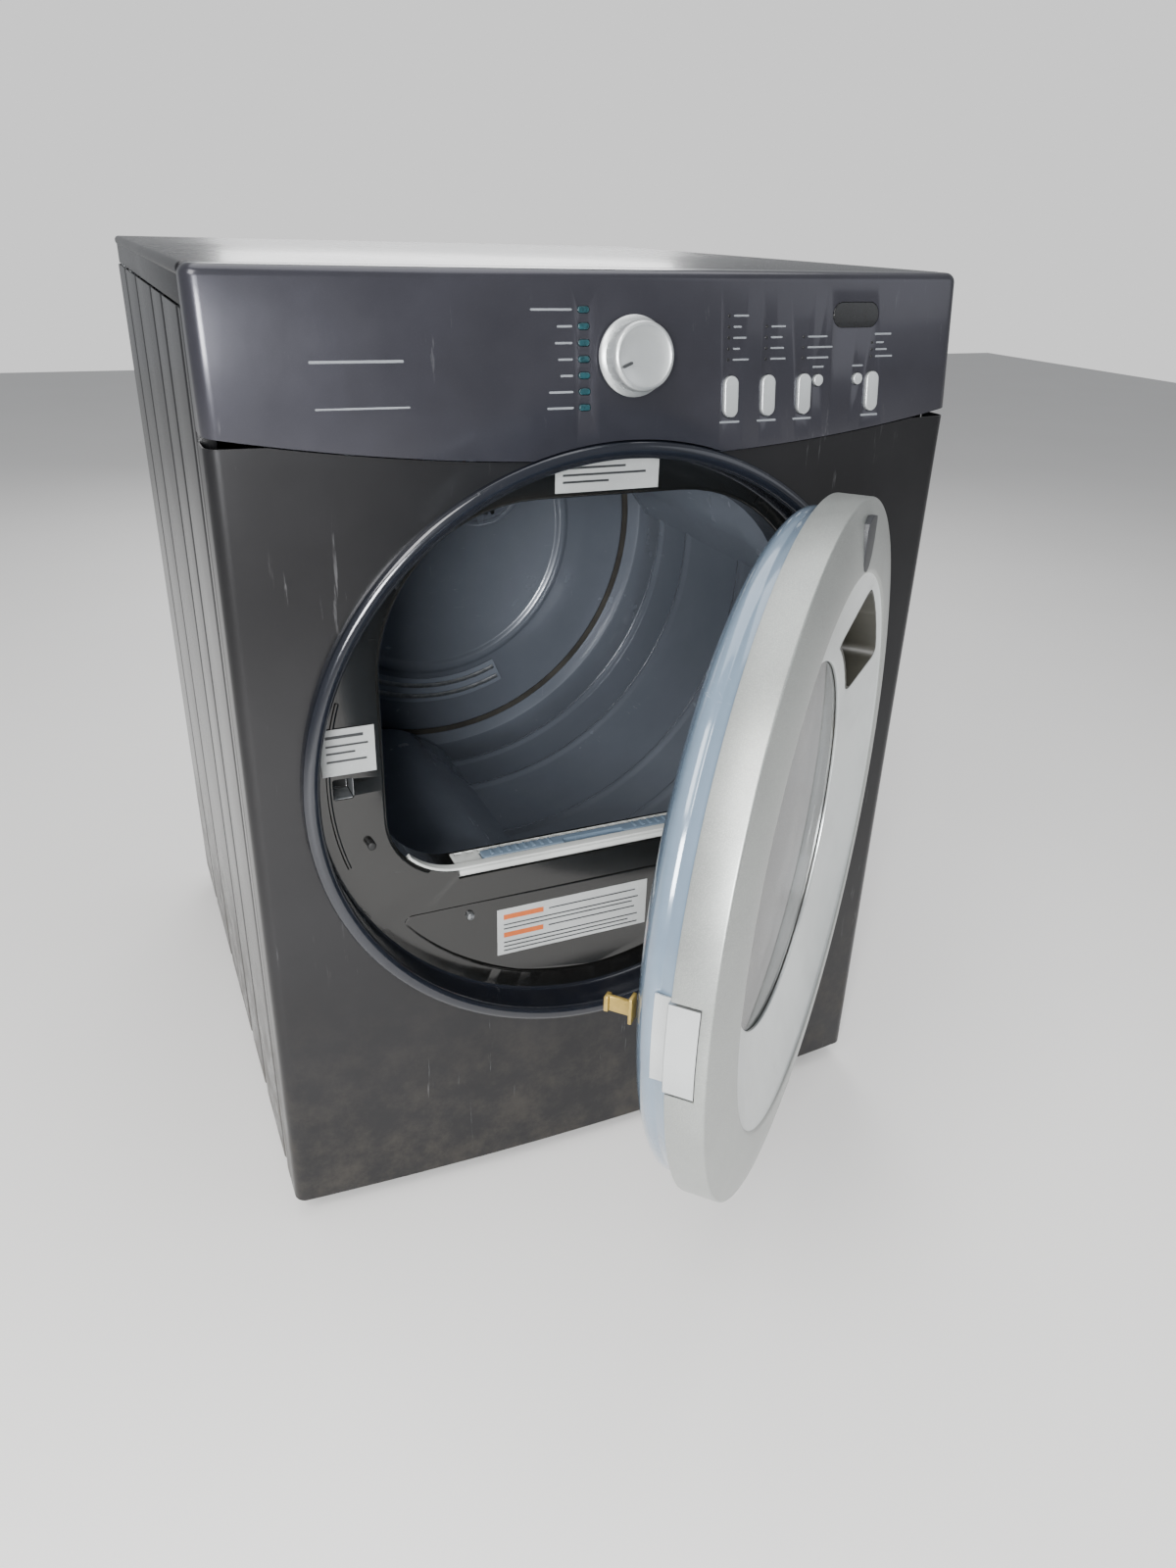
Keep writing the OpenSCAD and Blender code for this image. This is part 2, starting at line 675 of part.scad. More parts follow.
// A bell crank: the long leg holds the pulley's pin, the short one the spring
module idler_arm() {
    dx = idler_x - pivot_x;
    dz = idler_z - pivot_z;
    placed() color(ZINC) difference() {
        union() {
            rod_y(11, [353, 357], pivot_x, pivot_z);
            rod_y(9, [353, 357], idler_x, idler_z);
            rod_y(pin_r, [356, 384], idler_x, idler_z);
            translate([pivot_x, 353, pivot_z]) rotate([0, -atan2(dz, dx), 0]) box([0, norm([dx, dz])], [0, 4], [-7, 7]);
            box([spring_x - 8, pivot_x], [353, 357], [pivot_z - 7, pivot_z + 5]);
        }
        rod_y(pin_r + running, [350, 360], pivot_x, pivot_z);
    }
}

module idler_pulley() {
    placed() color("#dcdcd6") difference() {
        turned_y([[0, 361], [idler_r + 3, 361], [idler_r + 3, 363], [idler_r, 364], [idler_r, 380], [idler_r + 3, 381], [idler_r + 3, 383], [0, 383]], idler_z, idler_x);
        rod_y(pin_r + running, [350, 390], idler_x, idler_z);
    }
}

// A coil spring between the arm's short leg and the cradle's hook
module idler_spring() {
    z0 = pivot_z + 5.4;
    wire = [for (i = [0:7]) [5.5 + 1.2 * cos(i * 45), 1.2 * sin(i * 45)]];
    placed() color(STEEL) translate([spring_x, 355, z0])
        linear_extrude(163.7 - z0, twist = -360 * 9, slices = 108, $fn = 12) polygon(wire);
}

// The belt: round the drum, round the pulley, and the two straight runs between them
module drive_belt() {
    y = [belt_y - belt_w / 2, belt_y + belt_w / 2];
    t = belt_t / 2;
    run = sqrt(pow(drive_d, 2) - pow(belt_r - belt_pulley_r, 2));
    placed() color("#1c1c1e") {
        turned_y([[belt_r - t, y[0]], [belt_r + t, y[0]], [belt_r + t, y[1]], [belt_r - t, y[1]]], drum_z, 0, [drive_dir + wrap, drive_dir - wrap + 360]);
        turned_y([[belt_pulley_r - t, y[0]], [belt_pulley_r + t, y[0]], [belt_pulley_r + t, y[1]], [belt_pulley_r - t, y[1]]], motor_z, motor_x, [drive_dir - wrap, drive_dir + wrap]);
        for (s = [-1, 1]) translate([0, 0, drum_z]) rotate([0, -(drive_dir + s * wrap), 0])
            translate([belt_r, 0, 0]) box([-t, t], y, s > 0 ? [-run, 0] : [0, run]);
    }
}

// ---------- power inlet, feet and fasteners ----------

module terminal_block() {
    y = cab_d - sheet;
    placed() color("#8c6b3e") {
        box([inlet_x - 38, inlet_x + 38], [y - 22, y - 1], [inlet_z + 40, inlet_z + 66]);
        for (i = [-1:1]) rod_y(4, [y - 1.1, y + 2], inlet_x + 22 * i, inlet_z + 53);
    }
}

module terminal_cover() {
    placed() color(STEEL) difference() {
        box([inlet_x - 50, inlet_x + 50], [cab_d + gap, cab_d + 14], [inlet_z + 22, inlet_z + 96]);
        box([inlet_x - 48, inlet_x + 48], [cab_d, cab_d + 12.4], [inlet_z + 24, inlet_z + 94]);
    }
}

module foot(x, y) {
    placed() color("#303234") {
        rod_z(18, [0, 7], x, y);
        translate([x, y, 6]) cylinder(r = 12, h = 8, $fn = 6);
        rod_z(stem_r, [13, 70], x, y);
    }
}

module front_left_foot() { foot(-foot_x, foot_front_y); }

module front_right_foot() { foot(foot_x, foot_front_y); }

module rear_left_foot() { foot(-foot_x, foot_rear_y); }

module rear_right_foot() { foot(foot_x, foot_rear_y); }

// Screws through the rear panel's edge and the terminal cover, and the feet's lock nuts
module cabinet_fasteners() {
    placed() color(ZINC) {
        for (s = [-1, 1], i = [0:4]) rod_y(4.5, [cab_d + 0.1, cab_d + 3], s * 332, 90 + 185 * i);
        for (s = [-1, 0, 1]) rod_y(4.5, [cab_d + 0.1, cab_d + 3], s * 240, 872);
        for (x = [-foot_x, foot_x], y = [foot_front_y, foot_rear_y]) difference() {
            translate([x, y, skirt_z + 20.2]) cylinder(r = 10, h = 7, $fn = 6);
            rod_z(stem_r + running, [0, 100], x, y);
        }
    }
}

// ---------- door ----------

// Level of the bowl's slope at radius r
function bowl_y(r) = bowl_floor_y - 1 - (r - window_r - 9) * (crown_y + 3 - bowl_floor_y + 1) / (window_r + 9 - bowl_r + 5);

// The silver ring: rim, crowned land, and the bowl that slopes in to the window
module door_ring() {
    t = 3;
    placed() color(SILVER) on_door() difference() {
        turned_y([
            [door_r, rim_back], [door_r, rim_front + 6], [door_r - 1.8, rim_front + 1.8], [door_r - 6, rim_front],
            [bowl_r + 3, crown_y], [bowl_r - 2, crown_y + 0.8], [bowl_r - 5, crown_y + 3],
            [window_r + 9, bowl_floor_y - 1], [window_r, bowl_floor_y], [window_r, bowl_floor_y + t],
            [window_r + 9.6, bowl_floor_y - 1 + t], [bowl_r - 5, crown_y + 3 + t], [bowl_r + 3, crown_y + t],
            [door_r - 6.4, rim_front + t], [door_r - 3, rim_front + 6], [door_r - 3, rim_back]], door_z);
        // the slots for the hinge, and for the hinge on the other side
        for (a = [0, 180]) turned_y([[door_r - 5, rim_back + 1], [door_r + 2, rim_back + 1], [door_r + 2, -45], [door_r - 5, -45]], door_z, 0, [a - 7.4, a + 7.4]);
        for (a = [cup_a, [180 - cup_a[1], 180 - cup_a[0]]]) cup_block(170.6, 225.4, a[0] - 0.2, a[1] + 0.2, -70, -20);
    }
}

// A block of the ring's round between two radii and two angles
module cup_block(r0, r1, a0, a1, y0, y1) {
    turned_y([[r0, y0], [r1, y0], [r1, y1], [r0, y1]], door_z, 0, [a0, a1]);
}

module handle_cups() {
    placed() color("#55595b") on_door() for (a = [cup_a, [180 - cup_a[1], 180 - cup_a[0]]]) difference() {
        turned_y([[171, bowl_y(171) + 0.4], [225, bowl_y(225) + 0.4], [225, -10], [171, -10]], door_z, 0, a);
        cup_block(173, 223, a[0] + 0.7, a[1] - 0.7, -70, -12);
    }
}

module door_window() {
    placed() color("#4a4f55", 0.5) on_door()
        turned_y([[0, bowl_floor_y + 3.3], [window_r + 9, bowl_floor_y + 3.3], [window_r + 9, -29.2], [0, -29.2]], door_z);
}

// The moulded inner half: a flange in the rim, a domed back, and a tube that clamps the window
module door_liner() {
    t = 2.5;
    outer = [for (i = [0:9]) [185 + (liner_r - 185) * cos(i * 10), -10 + (liner_y + 10) * sin(i * 10)]];
    inner = [for (i = [9:-1:0]) [185 + (liner_r - t - 185) * cos(i * 10), -10 + (liner_y + 10 - t) * sin(i * 10)]];
    placed() color(BLUE_GREY) on_door() difference() {
        turned_y(concat(
            [[door_r - 3.4, rim_back - t], [door_r - 3.4, rim_back], [liner_r + 1, rim_back]],
            outer,
            [[170, liner_y - 1], [163, 10], [163, -28.8], [165.5, -28.8], [165.5, 9], [171, liner_y - 1 - t]],
            inner,
            [[liner_r + 1 - t, rim_back - t]]), door_z);
        box([222, 300], [-40, 40], [door_z - notch_hz, door_z + notch_hz]);
    }
}

// The plate that closes the unused hinge opening on the free side
module hinge_hole_cover() {
    back = rim_back + 1.8;
    placed() color(SILVER) on_door() turned_y([
        [door_r, -44.7], [door_r, back], [liner_r + 3.4, back], [liner_r + 3, -12], [liner_r + 1.2, -12],
        [liner_r + 1.6, rim_back + gap], [door_r - 2.8, rim_back + gap], [door_r - 2.8, -44.7]], door_z, 0, [173, 187]);
}

// The hook that enters the latch
module door_strike() {
    placed() color(ZINC) on_door() {
        box([-258.5, -255.5], [10, 29], [door_z - 6, door_z + 6]);
        box([-262, -252], [8.2, 11], [door_z - 10, door_z + 10]);
        box([-260.5, -253.5], [25.5, 29], [door_z - 6, door_z + 6]);
    }
}

// The door's side of the hinge: two knuckles on a plate inside the land
module hinge_leaf() {
    placed() color(ZINC) on_door() difference() {
        union() {
            for (s = [-1, 1]) rod_z(7, [door_z + (s > 0 ? 14.5 : -30), door_z + (s > 0 ? 30 : -14.5)], hinge_x, hinge_y);
            for (s = [-1, 1]) box([hinge_x - 7, hinge_x + 7], [-49, hinge_y], [door_z + (s > 0 ? 14.5 : -30), door_z + (s > 0 ? 30 : -14.5)]);
            box([240, 272], [-50.5, -48], [door_z - 30, door_z + 30]);
        }
        rod_z(4 + running, [door_z - 40, door_z + 40], hinge_x, hinge_y);
    }
}

// The cabinet's side of the hinge: a plate in the recess, a cranked arm and the pin
module hinge_bracket() {
    h = 28;
    placed() color(ZINC) {
        translate([0, 0, door_z - h / 2]) linear_extrude(h)
            polygon([[hinge_x - 5, hinge_y - 2], [hinge_x + 5, hinge_y + 3], [250, -12], [250, face_y - 1], [244, face_y - 1], [244, -14]]);
        rod_z(6, [door_z - h / 2, door_z + h / 2], hinge_x, hinge_y);
        rod_z(4, [door_z - 31, door_z + 31], hinge_x, hinge_y);
        box([222, 256], [face_y - 2.4, face_y - gap], [door_z - 33, door_z + 33]);
    }
}

base_pan();
left_side_panel();
right_side_panel();
rear_panel();
top_panel();
front_panel();
control_panel();
control_board();
console_lenses();
cycle_knob();
temperature_button();
dryness_button();
options_button();
start_button();
select_button();
cancel_button();
front_bulkhead();
latch_catch();
door_switch();
switch_plunger();
front_seal();
sill_grille();
lint_duct();
lint_filter_frame();
lint_filter_mesh();
drum_shell();
drum_baffles();
rear_bulkhead();
rear_seal();
moisture_sensor();
heater_housing();
heater_element();
blower_housing();
blower_wheel();
exhaust_duct();
motor_housing();
motor_cradle();
motor_shaft();
idler_arm();
idler_pulley();
idler_spring();
drive_belt();
left_roller();
right_roller();
terminal_block();
terminal_cover();
front_left_foot();
front_right_foot();
rear_left_foot();
rear_right_foot();
cabinet_fasteners();
door_ring();
door_window();
door_liner();
handle_cups();
hinge_hole_cover();
door_strike();
hinge_leaf();
hinge_bracket();
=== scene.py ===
"""Looks of a full-size clothes dryer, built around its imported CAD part."""

import json
import logging
import math
from dataclasses import dataclass, field
from enum import Enum
from typing import Callable, Iterable, Sequence

import bpy
from mathutils import Matrix, Vector


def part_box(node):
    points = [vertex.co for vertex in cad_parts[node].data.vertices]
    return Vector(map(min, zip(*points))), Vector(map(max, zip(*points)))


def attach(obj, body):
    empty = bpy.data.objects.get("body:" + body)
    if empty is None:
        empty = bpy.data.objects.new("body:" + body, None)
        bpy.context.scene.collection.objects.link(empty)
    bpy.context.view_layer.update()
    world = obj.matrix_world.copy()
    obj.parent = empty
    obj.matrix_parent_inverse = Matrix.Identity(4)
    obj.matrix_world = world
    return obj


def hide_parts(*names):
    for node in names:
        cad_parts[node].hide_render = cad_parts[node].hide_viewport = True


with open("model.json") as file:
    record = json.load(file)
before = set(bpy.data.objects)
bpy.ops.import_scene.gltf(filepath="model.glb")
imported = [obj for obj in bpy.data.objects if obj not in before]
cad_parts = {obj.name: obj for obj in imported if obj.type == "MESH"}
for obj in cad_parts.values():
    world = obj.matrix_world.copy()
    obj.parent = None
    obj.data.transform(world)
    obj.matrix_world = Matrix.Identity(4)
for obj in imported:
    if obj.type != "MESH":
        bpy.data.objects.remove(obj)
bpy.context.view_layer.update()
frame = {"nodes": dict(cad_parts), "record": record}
LOG = logging.getLogger("dryer")
Point = tuple[float, float]
Place = tuple[float, float, float]
MM = 0.001


# ---------------------------------------------------------------- the dryer's frame


@dataclass(frozen=True)
class Datum:
    """The cabinet's own frame in millimetres: y from the front corners, z from the floor."""

    cab_depth: float = 740.0
    half_w: float = 343.0
    height: float = 914.0
    skirt: float = 24.0
    bow: float = 14.0
    lean: float = math.radians(6.3)
    seam_z: float = 797.0
    seam_dip: float = 28.5
    door_z: float = 485.0
    drum_z: float = 557.0
    hinge: Point = (262.0, -40.0)
    open_angle: float = math.radians(43.0)
    corner: float = 12.0

    @property
    def shift(self) -> float:
        """The y of the front corners in the model's frame, in millimetres."""
        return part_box("rear_panel")[1][1] / MM - self.cab_depth

    def world(self, x: float, y: float, z: float) -> Vector:
        """A cabinet point as a place in the model.

        Args:
            x: millimetres to the right.
            y: millimetres behind the front corners.
            z: millimetres above the floor.

        Returns:
            The place in metres.
        """
        return Vector((x * MM, (y + self.shift) * MM, z * MM))

    def front(self, x: float) -> float:
        """The y of the bowed front at x, in millimetres."""
        return -self.bow * (1 - min(abs(x) / self.half_w, 1) ** 2)

    def console(self, x: float, z: float) -> float:
        """The y of the leaning console's face at x and z, in millimetres."""
        return self.front(x) + math.tan(self.lean) * (z - self.seam_z)

    def on_console(self, x: float, z: float) -> Matrix:
        """The turn and place that put a piece drawn about the origin on the console, -Y outwards.

        Args:
            x: millimetres to the right.
            z: millimetres above the floor.

        Returns:
            The matrix in metres.
        """
        turn = math.atan(2 * self.bow * x / self.half_w**2)
        place = Matrix.Translation(self.world(x, self.console(x, z), z))
        tilt = Matrix.Rotation(turn, 4, "Z") @ Matrix.Rotation(-self.lean, 4, "X")
        return place @ tilt @ Matrix.Translation(-self.world(0, 0, 0))

    def door_turn(self) -> Matrix:
        """The turn about the hinge from the closed door to the open one, in metres."""
        pin = self.world(self.hinge[0], self.hinge[1], 0)
        return Matrix.Translation(pin) @ Matrix.Rotation(self.open_angle, 4, "Z") @ Matrix.Translation(-pin)


DATUM = Datum()


# ---------------------------------------------------------------- the bench: mesh tools


class Axis(Enum):
    """An axis that a shape is turned about or pushed along."""

    X = (1.0, 0.0, 0.0)
    Y = (0.0, 1.0, 0.0)
    Z = (0.0, 0.0, 1.0)


class Bench:
    """Models pieces in millimetres of the cabinet's frame and hands them over in metres."""

    @staticmethod
    def clear() -> None:
        """Leaves edit mode and deselects everything."""
        if bpy.context.mode != "OBJECT":
            bpy.ops.object.mode_set(mode="OBJECT")
        bpy.ops.object.select_all(action="DESELECT")

    @staticmethod
    def take(piece: bpy.types.Object) -> None:
        """Makes a piece the only selected and active one.

        Args:
            piece: the piece to work on.
        """
        Bench.clear()
        piece.select_set(True)
        bpy.context.view_layer.objects.active = piece

    @staticmethod
    def edit(piece: bpy.types.Object, mode: str = "VERT", everything: bool = True) -> None:
        """Opens a piece in edit mode.

        Args:
            piece: the piece to work on.
            mode: what is selected, VERT, EDGE or FACE.
            everything: whether all of it is selected or none.
        """
        Bench.take(piece)
        bpy.ops.object.mode_set(mode="EDIT")
        bpy.ops.mesh.select_mode(type=mode)
        bpy.ops.mesh.select_all(action="SELECT" if everything else "DESELECT")

    @staticmethod
    def pick(piece: bpy.types.Object, mode: str, test: Callable[[Vector, Vector], bool]) -> None:
        """Opens a piece in edit mode with the parts that pass a test selected.

        Args:
            piece: the piece to work on.
            mode: VERT, EDGE or FACE.
            test: takes a part's middle and its normal or direction, in the piece's own frame.
        """
        Bench.edit(piece, mode, everything=False)
        bpy.ops.object.mode_set(mode="OBJECT")
        mesh = piece.data
        if mode == "VERT":
            for v in mesh.vertices:
                v.select = test(v.co, v.normal)
        elif mode == "EDGE":
            for e in mesh.edges:
                a, b = (mesh.vertices[i].co for i in e.vertices)
                e.select = test((a + b) / 2, (b - a).normalized())
        else:
            for f in mesh.polygons:
                f.select = test(f.center, f.normal)
        bpy.ops.object.mode_set(mode="EDIT")

    @staticmethod
    def apply(piece: bpy.types.Object) -> None:
        """Applies a piece's place, turn, scale and modifiers.

        Args:
            piece: the piece to finish.
        """
        Bench.take(piece)
        bpy.ops.object.transform_apply(location=True, rotation=True, scale=True)
        for modifier in list(piece.modifiers):
            bpy.ops.object.modifier_apply(modifier=modifier.name)

    @staticmethod
    def outwards(piece: bpy.types.Object) -> None:
        """Merges doubles and makes the faces point outwards.

        Args:
            piece: the piece to mend.
        """
        Bench.edit(piece)
        bpy.ops.mesh.remove_doubles(threshold=0.00001)
        bpy.ops.mesh.delete_loose(use_verts=True, use_edges=True, use_faces=False)
        bpy.ops.mesh.select_all(action="SELECT")
        bpy.ops.mesh.normals_make_consistent(inside=False)
        Bench.clear()

    @staticmethod
    def path(name: str, points: Sequence[Place], closed: bool) -> bpy.types.Object:
        """Draws a line by extruding one vertex from point to point.

        Args:
            name: the piece's name.
            points: places in the cabinet's frame.
            closed: whether the last point joins the first.

        Returns:
            The line.
        """
        Bench.clear()
        places = [DATUM.world(*p) for p in points]
        bpy.ops.mesh.primitive_plane_add(size=0.001, location=places[0])
        line = bpy.context.object
        line.name = name
        Bench.edit(line)
        bpy.ops.mesh.merge(type="CENTER")
        for a, b in zip(places, places[1:]):
            bpy.ops.mesh.extrude_region_move(TRANSFORM_OT_translate={"value": b - a})
        if closed:
            bpy.ops.mesh.select_all(action="SELECT")
            bpy.ops.object.mode_set(mode="OBJECT")
            ends = {0, len(places) - 1}
            for v in line.data.vertices:
                v.select = v.index in ends
            bpy.ops.object.mode_set(mode="EDIT")
            bpy.ops.mesh.edge_face_add()
        Bench.clear()
        Bench.take(line)
        bpy.ops.object.transform_apply(location=True, rotation=True, scale=True)
        return line

    @staticmethod
    def turned(
        name: str,
        points: Sequence[Point],
        x: float = 0.0,
        z: float = 0.0,
        steps: int = 128,
        arc: tuple[float, float] = (0.0, 360.0),
        closed: bool = True,
    ) -> bpy.types.Object:
        """Turns an outline about an axis along Y.

        Args:
            name: the piece's name.
            points: the outline as (radius, y).
            x: the axis's x.
            z: the axis's z.
            steps: how many steps the whole turn has.
            arc: first and last angle, anticlockwise from +X seen from the front.
            closed: whether the outline is a closed loop.

        Returns:
            The turned piece.
        """
        first, last = (math.radians(a) for a in arc)
        full = arc[1] - arc[0] >= 360
        piece = Bench.path(
            name, [(x + r * math.cos(first), y, z + r * math.sin(first)) for r, y in points], closed
        )
        Bench.edit(piece)
        if closed:
            bpy.ops.mesh.delete(type="ONLY_FACE")
            bpy.ops.mesh.select_all(action="SELECT")
        bpy.ops.mesh.spin(
            steps=max(2, round(steps * (last - first) / math.tau)),
            angle=last - first,
            center=DATUM.world(x, 0, z),
            axis=(0, 1, 0),
        )
        if not full and closed:
            Bench.cap(piece, x, z, (first, last))
        Bench.outwards(piece)
        return piece

    @staticmethod
    def cap(piece: bpy.types.Object, x: float, z: float, ends: tuple[float, float]) -> None:
        """Closes the two ends of a part turn.

        Args:
            piece: the turned piece.
            x: the axis's x.
            z: the axis's z.
            ends: the two angles in radians.
        """
        middle = DATUM.world(x, 0, z)
        for angle in ends:
            across = Vector((-math.sin(angle), 0, math.cos(angle)))
            along = Vector((math.cos(angle), 0, math.sin(angle)))
            Bench.pick(
                piece,
                "VERT",
                lambda co, _n: abs((co - middle).dot(across)) < 1e-5 and (co - middle).dot(along) > -1e-5,
            )
            bpy.ops.mesh.edge_face_add()
            Bench.clear()

    @staticmethod
    def prism(name: str, outline: Sequence[Place], push: Place, bevel: float = 0.0, segments: int = 3) -> bpy.types.Object:
        """Draws a closed outline, which fills itself, and pushes it into a solid.

        Args:
            name: the piece's name.
            outline: the outline's places.
            push: the way and distance that it is extruded.
            bevel: the width of the rounding on its end edges, in millimetres.
            segments: the rounding's segments.

        Returns:
            The solid.
        """
        piece = Bench.path(name, outline, closed=True)
        Bench.edit(piece)
        bpy.ops.mesh.extrude_region_move(TRANSFORM_OT_translate={"value": Vector(push) * MM})
        Bench.outwards(piece)
        if bevel > 0:
            Bench.bevel_ends(piece, Vector(push).normalized(), bevel, segments)
        return piece

    @staticmethod
    def bevel_ends(piece: bpy.types.Object, way: Vector, width: float, segments: int) -> None:
        """Rounds the edges of the faces that look along a direction.

        Args:
            piece: the solid.
            way: the direction.
            width: the rounding's width in millimetres.
            segments: the rounding's segments.
        """
        Bench.pick(piece, "FACE", lambda _c, n: abs(n.dot(way)) > 0.99)
        bpy.ops.mesh.region_to_loop()
        bpy.ops.mesh.bevel(offset=width * MM, segments=segments, profile=0.6)
        Bench.clear()

    @staticmethod
    def block(name: str, low: Place, high: Place, bevel: float = 0.0, segments: int = 3) -> bpy.types.Object:
        """A box with rounded edges.

        Args:
            name: the piece's name.
            low: its lowest corner.
            high: its highest corner.
            bevel: the rounding's width in millimetres.
            segments: the rounding's segments.

        Returns:
            The box.
        """
        Bench.clear()
        a, b = DATUM.world(*low), DATUM.world(*high)
        bpy.ops.mesh.primitive_cube_add(size=1, location=(a + b) / 2, scale=b - a)
        piece = bpy.context.object
        piece.name = name
        bpy.ops.object.transform_apply(location=True, rotation=True, scale=True)
        if bevel > 0:
            Bench.edit(piece, "EDGE")
            bpy.ops.mesh.bevel(offset=bevel * MM, segments=segments, profile=0.5)
            Bench.clear()
        return piece

    @staticmethod
    def pill(name: str, width: float, height: float, ys: Point, bevel: float = 0.0, flat: bool = False) -> bpy.types.Object:
        """An upright or lying slot shape with round ends about the origin, for on_console.

        Args:
            name: the piece's name.
            width: the round ends' diameter.
            height: the whole length.
            ys: its front and back levels.
            bevel: the rounding of its front edge.
            flat: whether it lies along X.

        Returns:
            The piece, drawn about the model's origin.
        """
        Bench.clear()
        bpy.ops.mesh.primitive_cylinder_add(
            vertices=48, radius=width / 2 * MM, depth=(ys[1] - ys[0]) * MM,
            location=DATUM.world(0, (ys[0] + ys[1]) / 2, 0), rotation=(math.pi / 2, 0, 0),
        )
        piece = bpy.context.object
        piece.name = name
        bpy.ops.object.transform_apply(location=True, rotation=True, scale=True)
        move = (height - width) / 2 * MM
        way = Vector((1, 0, 0)) if flat else Vector((0, 0, 1))
        if move > 0:
            for sign in (1, -1):
                Bench.pick(piece, "VERT", lambda co, _n: co.dot(way) * sign > 1e-7)
                bpy.ops.transform.translate(value=way * move * sign)
        Bench.clear()
        if bevel > 0:
            Bench.pick(piece, "FACE", lambda _c, n: n.y < -0.9)
            bpy.ops.mesh.region_to_loop()
            bpy.ops.mesh.bevel(offset=bevel * MM, segments=4, profile=0.6)
            Bench.clear()
        return piece

    @staticmethod
    def put(piece: bpy.types.Object, matrix: Matrix) -> bpy.types.Object:
        """Moves a piece and keeps the move in its mesh.

        Args:
            piece: the piece.
            matrix: the move.

        Returns:
            The piece.
        """
        piece.matrix_world = matrix @ piece.matrix_world
        Bench.take(piece)
        bpy.ops.object.transform_apply(location=True, rotation=True, scale=True)
        return piece

    @staticmethod
    def cut(piece: bpy.types.Object, tool: bpy.types.Object, how: str = "DIFFERENCE") -> None:
        """Cuts a piece with a tool, which is used up.

        Args:
            piece: what is cut.
            tool: the cutter.
            how: DIFFERENCE, UNION or INTERSECT.
        """
        modifier = piece.modifiers.new("cut", "BOOLEAN")
        modifier.operation = how
        modifier.solver = "EXACT"
        modifier.object = tool
        Bench.take(piece)
        bpy.ops.object.modifier_apply(modifier=modifier.name)
        bpy.data.objects.remove(tool)

    @staticmethod
    def join(name: str, pieces: Iterable[bpy.types.Object]) -> bpy.types.Object:
        """Joins pieces into one.

        Args:
            name: the joined piece's name.
            pieces: what is joined.

        Returns:
            The joined piece.
        """
        Bench.clear()
        members = list(pieces)
        for member in members:
            member.select_set(True)
        bpy.context.view_layer.objects.active = members[0]
        if len(members) > 1:
            bpy.ops.object.join()
        members[0].name = name
        Bench.clear()
        return members[0]

    @staticmethod
    def copy(piece: bpy.types.Object, move: Vector) -> bpy.types.Object:
        """A moved copy with a mesh of its own.

        Args:
            piece: what is copied.
            move: the move in metres.

        Returns:
            The copy.
        """
        twin = piece.copy()
        twin.data = piece.data.copy()
        bpy.context.collection.objects.link(twin)
        return Bench.put(twin, Matrix.Translation(move))

    @staticmethod
    def smooth(piece: bpy.types.Object, angle: float = 35.0, edge: float = 0.0) -> None:
        """Shades a piece smooth up to an angle, after an optional fine rounding of its edges.

        Args:
            piece: the piece.
            angle: the sharpest angle that is smoothed, in degrees.
            edge: the rounding's width in millimetres.
        """
        if edge > 0:
            modifier = piece.modifiers.new("edge", "BEVEL")
            modifier.width = edge * MM
            modifier.segments = 2
            modifier.limit_method = "ANGLE"
            modifier.angle_limit = math.radians(40)
            modifier.harden_normals = False
            Bench.apply(piece)
        Bench.take(piece)
        bpy.ops.object.shade_smooth_by_angle(angle=math.radians(angle))
        Bench.clear()


# ---------------------------------------------------------------- shader maths


@dataclass
class Sock:
    """A node's output that can be added, multiplied and compared in plain expressions."""

    graph: "Graph"
    out: bpy.types.NodeSocket

    def _math(self, operation: str, *others: "Sock | float", first: bool = True) -> "Sock":
        """A Math node on this value and others.

        Args:
            operation: the Math node's operation.
            others: the other values.
            first: whether this value comes first.

        Returns:
            The result.
        """
        values = [self, *others] if first else [*others, self]
        return self.graph.node("ShaderNodeMath", {"operation": operation}, dict(enumerate(values)))

    def __add__(self, other: "Sock | float") -> "Sock":
        """Sum."""
        return self._math("ADD", other)

    __radd__ = __add__

    def __sub__(self, other: "Sock | float") -> "Sock":
        """Difference."""
        return self._math("SUBTRACT", other)

    def __rsub__(self, other: "Sock | float") -> "Sock":
        """Difference from a plain number."""
        return self._math("SUBTRACT", other, first=False)

    def __mul__(self, other: "Sock | float") -> "Sock":
        """Product."""
        return self._math("MULTIPLY", other)

    __rmul__ = __mul__

    def __pow__(self, other: "Sock | float") -> "Sock":
        """Power."""
        return self._math("POWER", other)

    def over(self, other: "Sock | float") -> "Sock":
        """1 where this is greater, else 0."""
        return self._math("GREATER_THAN", other)

    def sine(self) -> "Sock":
        """Sine of the value."""
        return self._math("SINE")

    def size(self) -> "Sock":
        """The value without its sign."""
        return self._math("ABSOLUTE")

    def clamp(self) -> "Sock":
        """The value held between 0 and 1."""
        return self.graph.node("ShaderNodeClamp", {}, {0: self})

    def ramp(self, low: float, high: float) -> "Sock":
        """0 below low, 1 above high and smooth between them."""
        return self.graph.node(
            "ShaderNodeMapRange", {"interpolation_type": "SMOOTHSTEP"}, {0: self, 1: low, 2: high, 3: 0.0, 4: 1.0}
        )


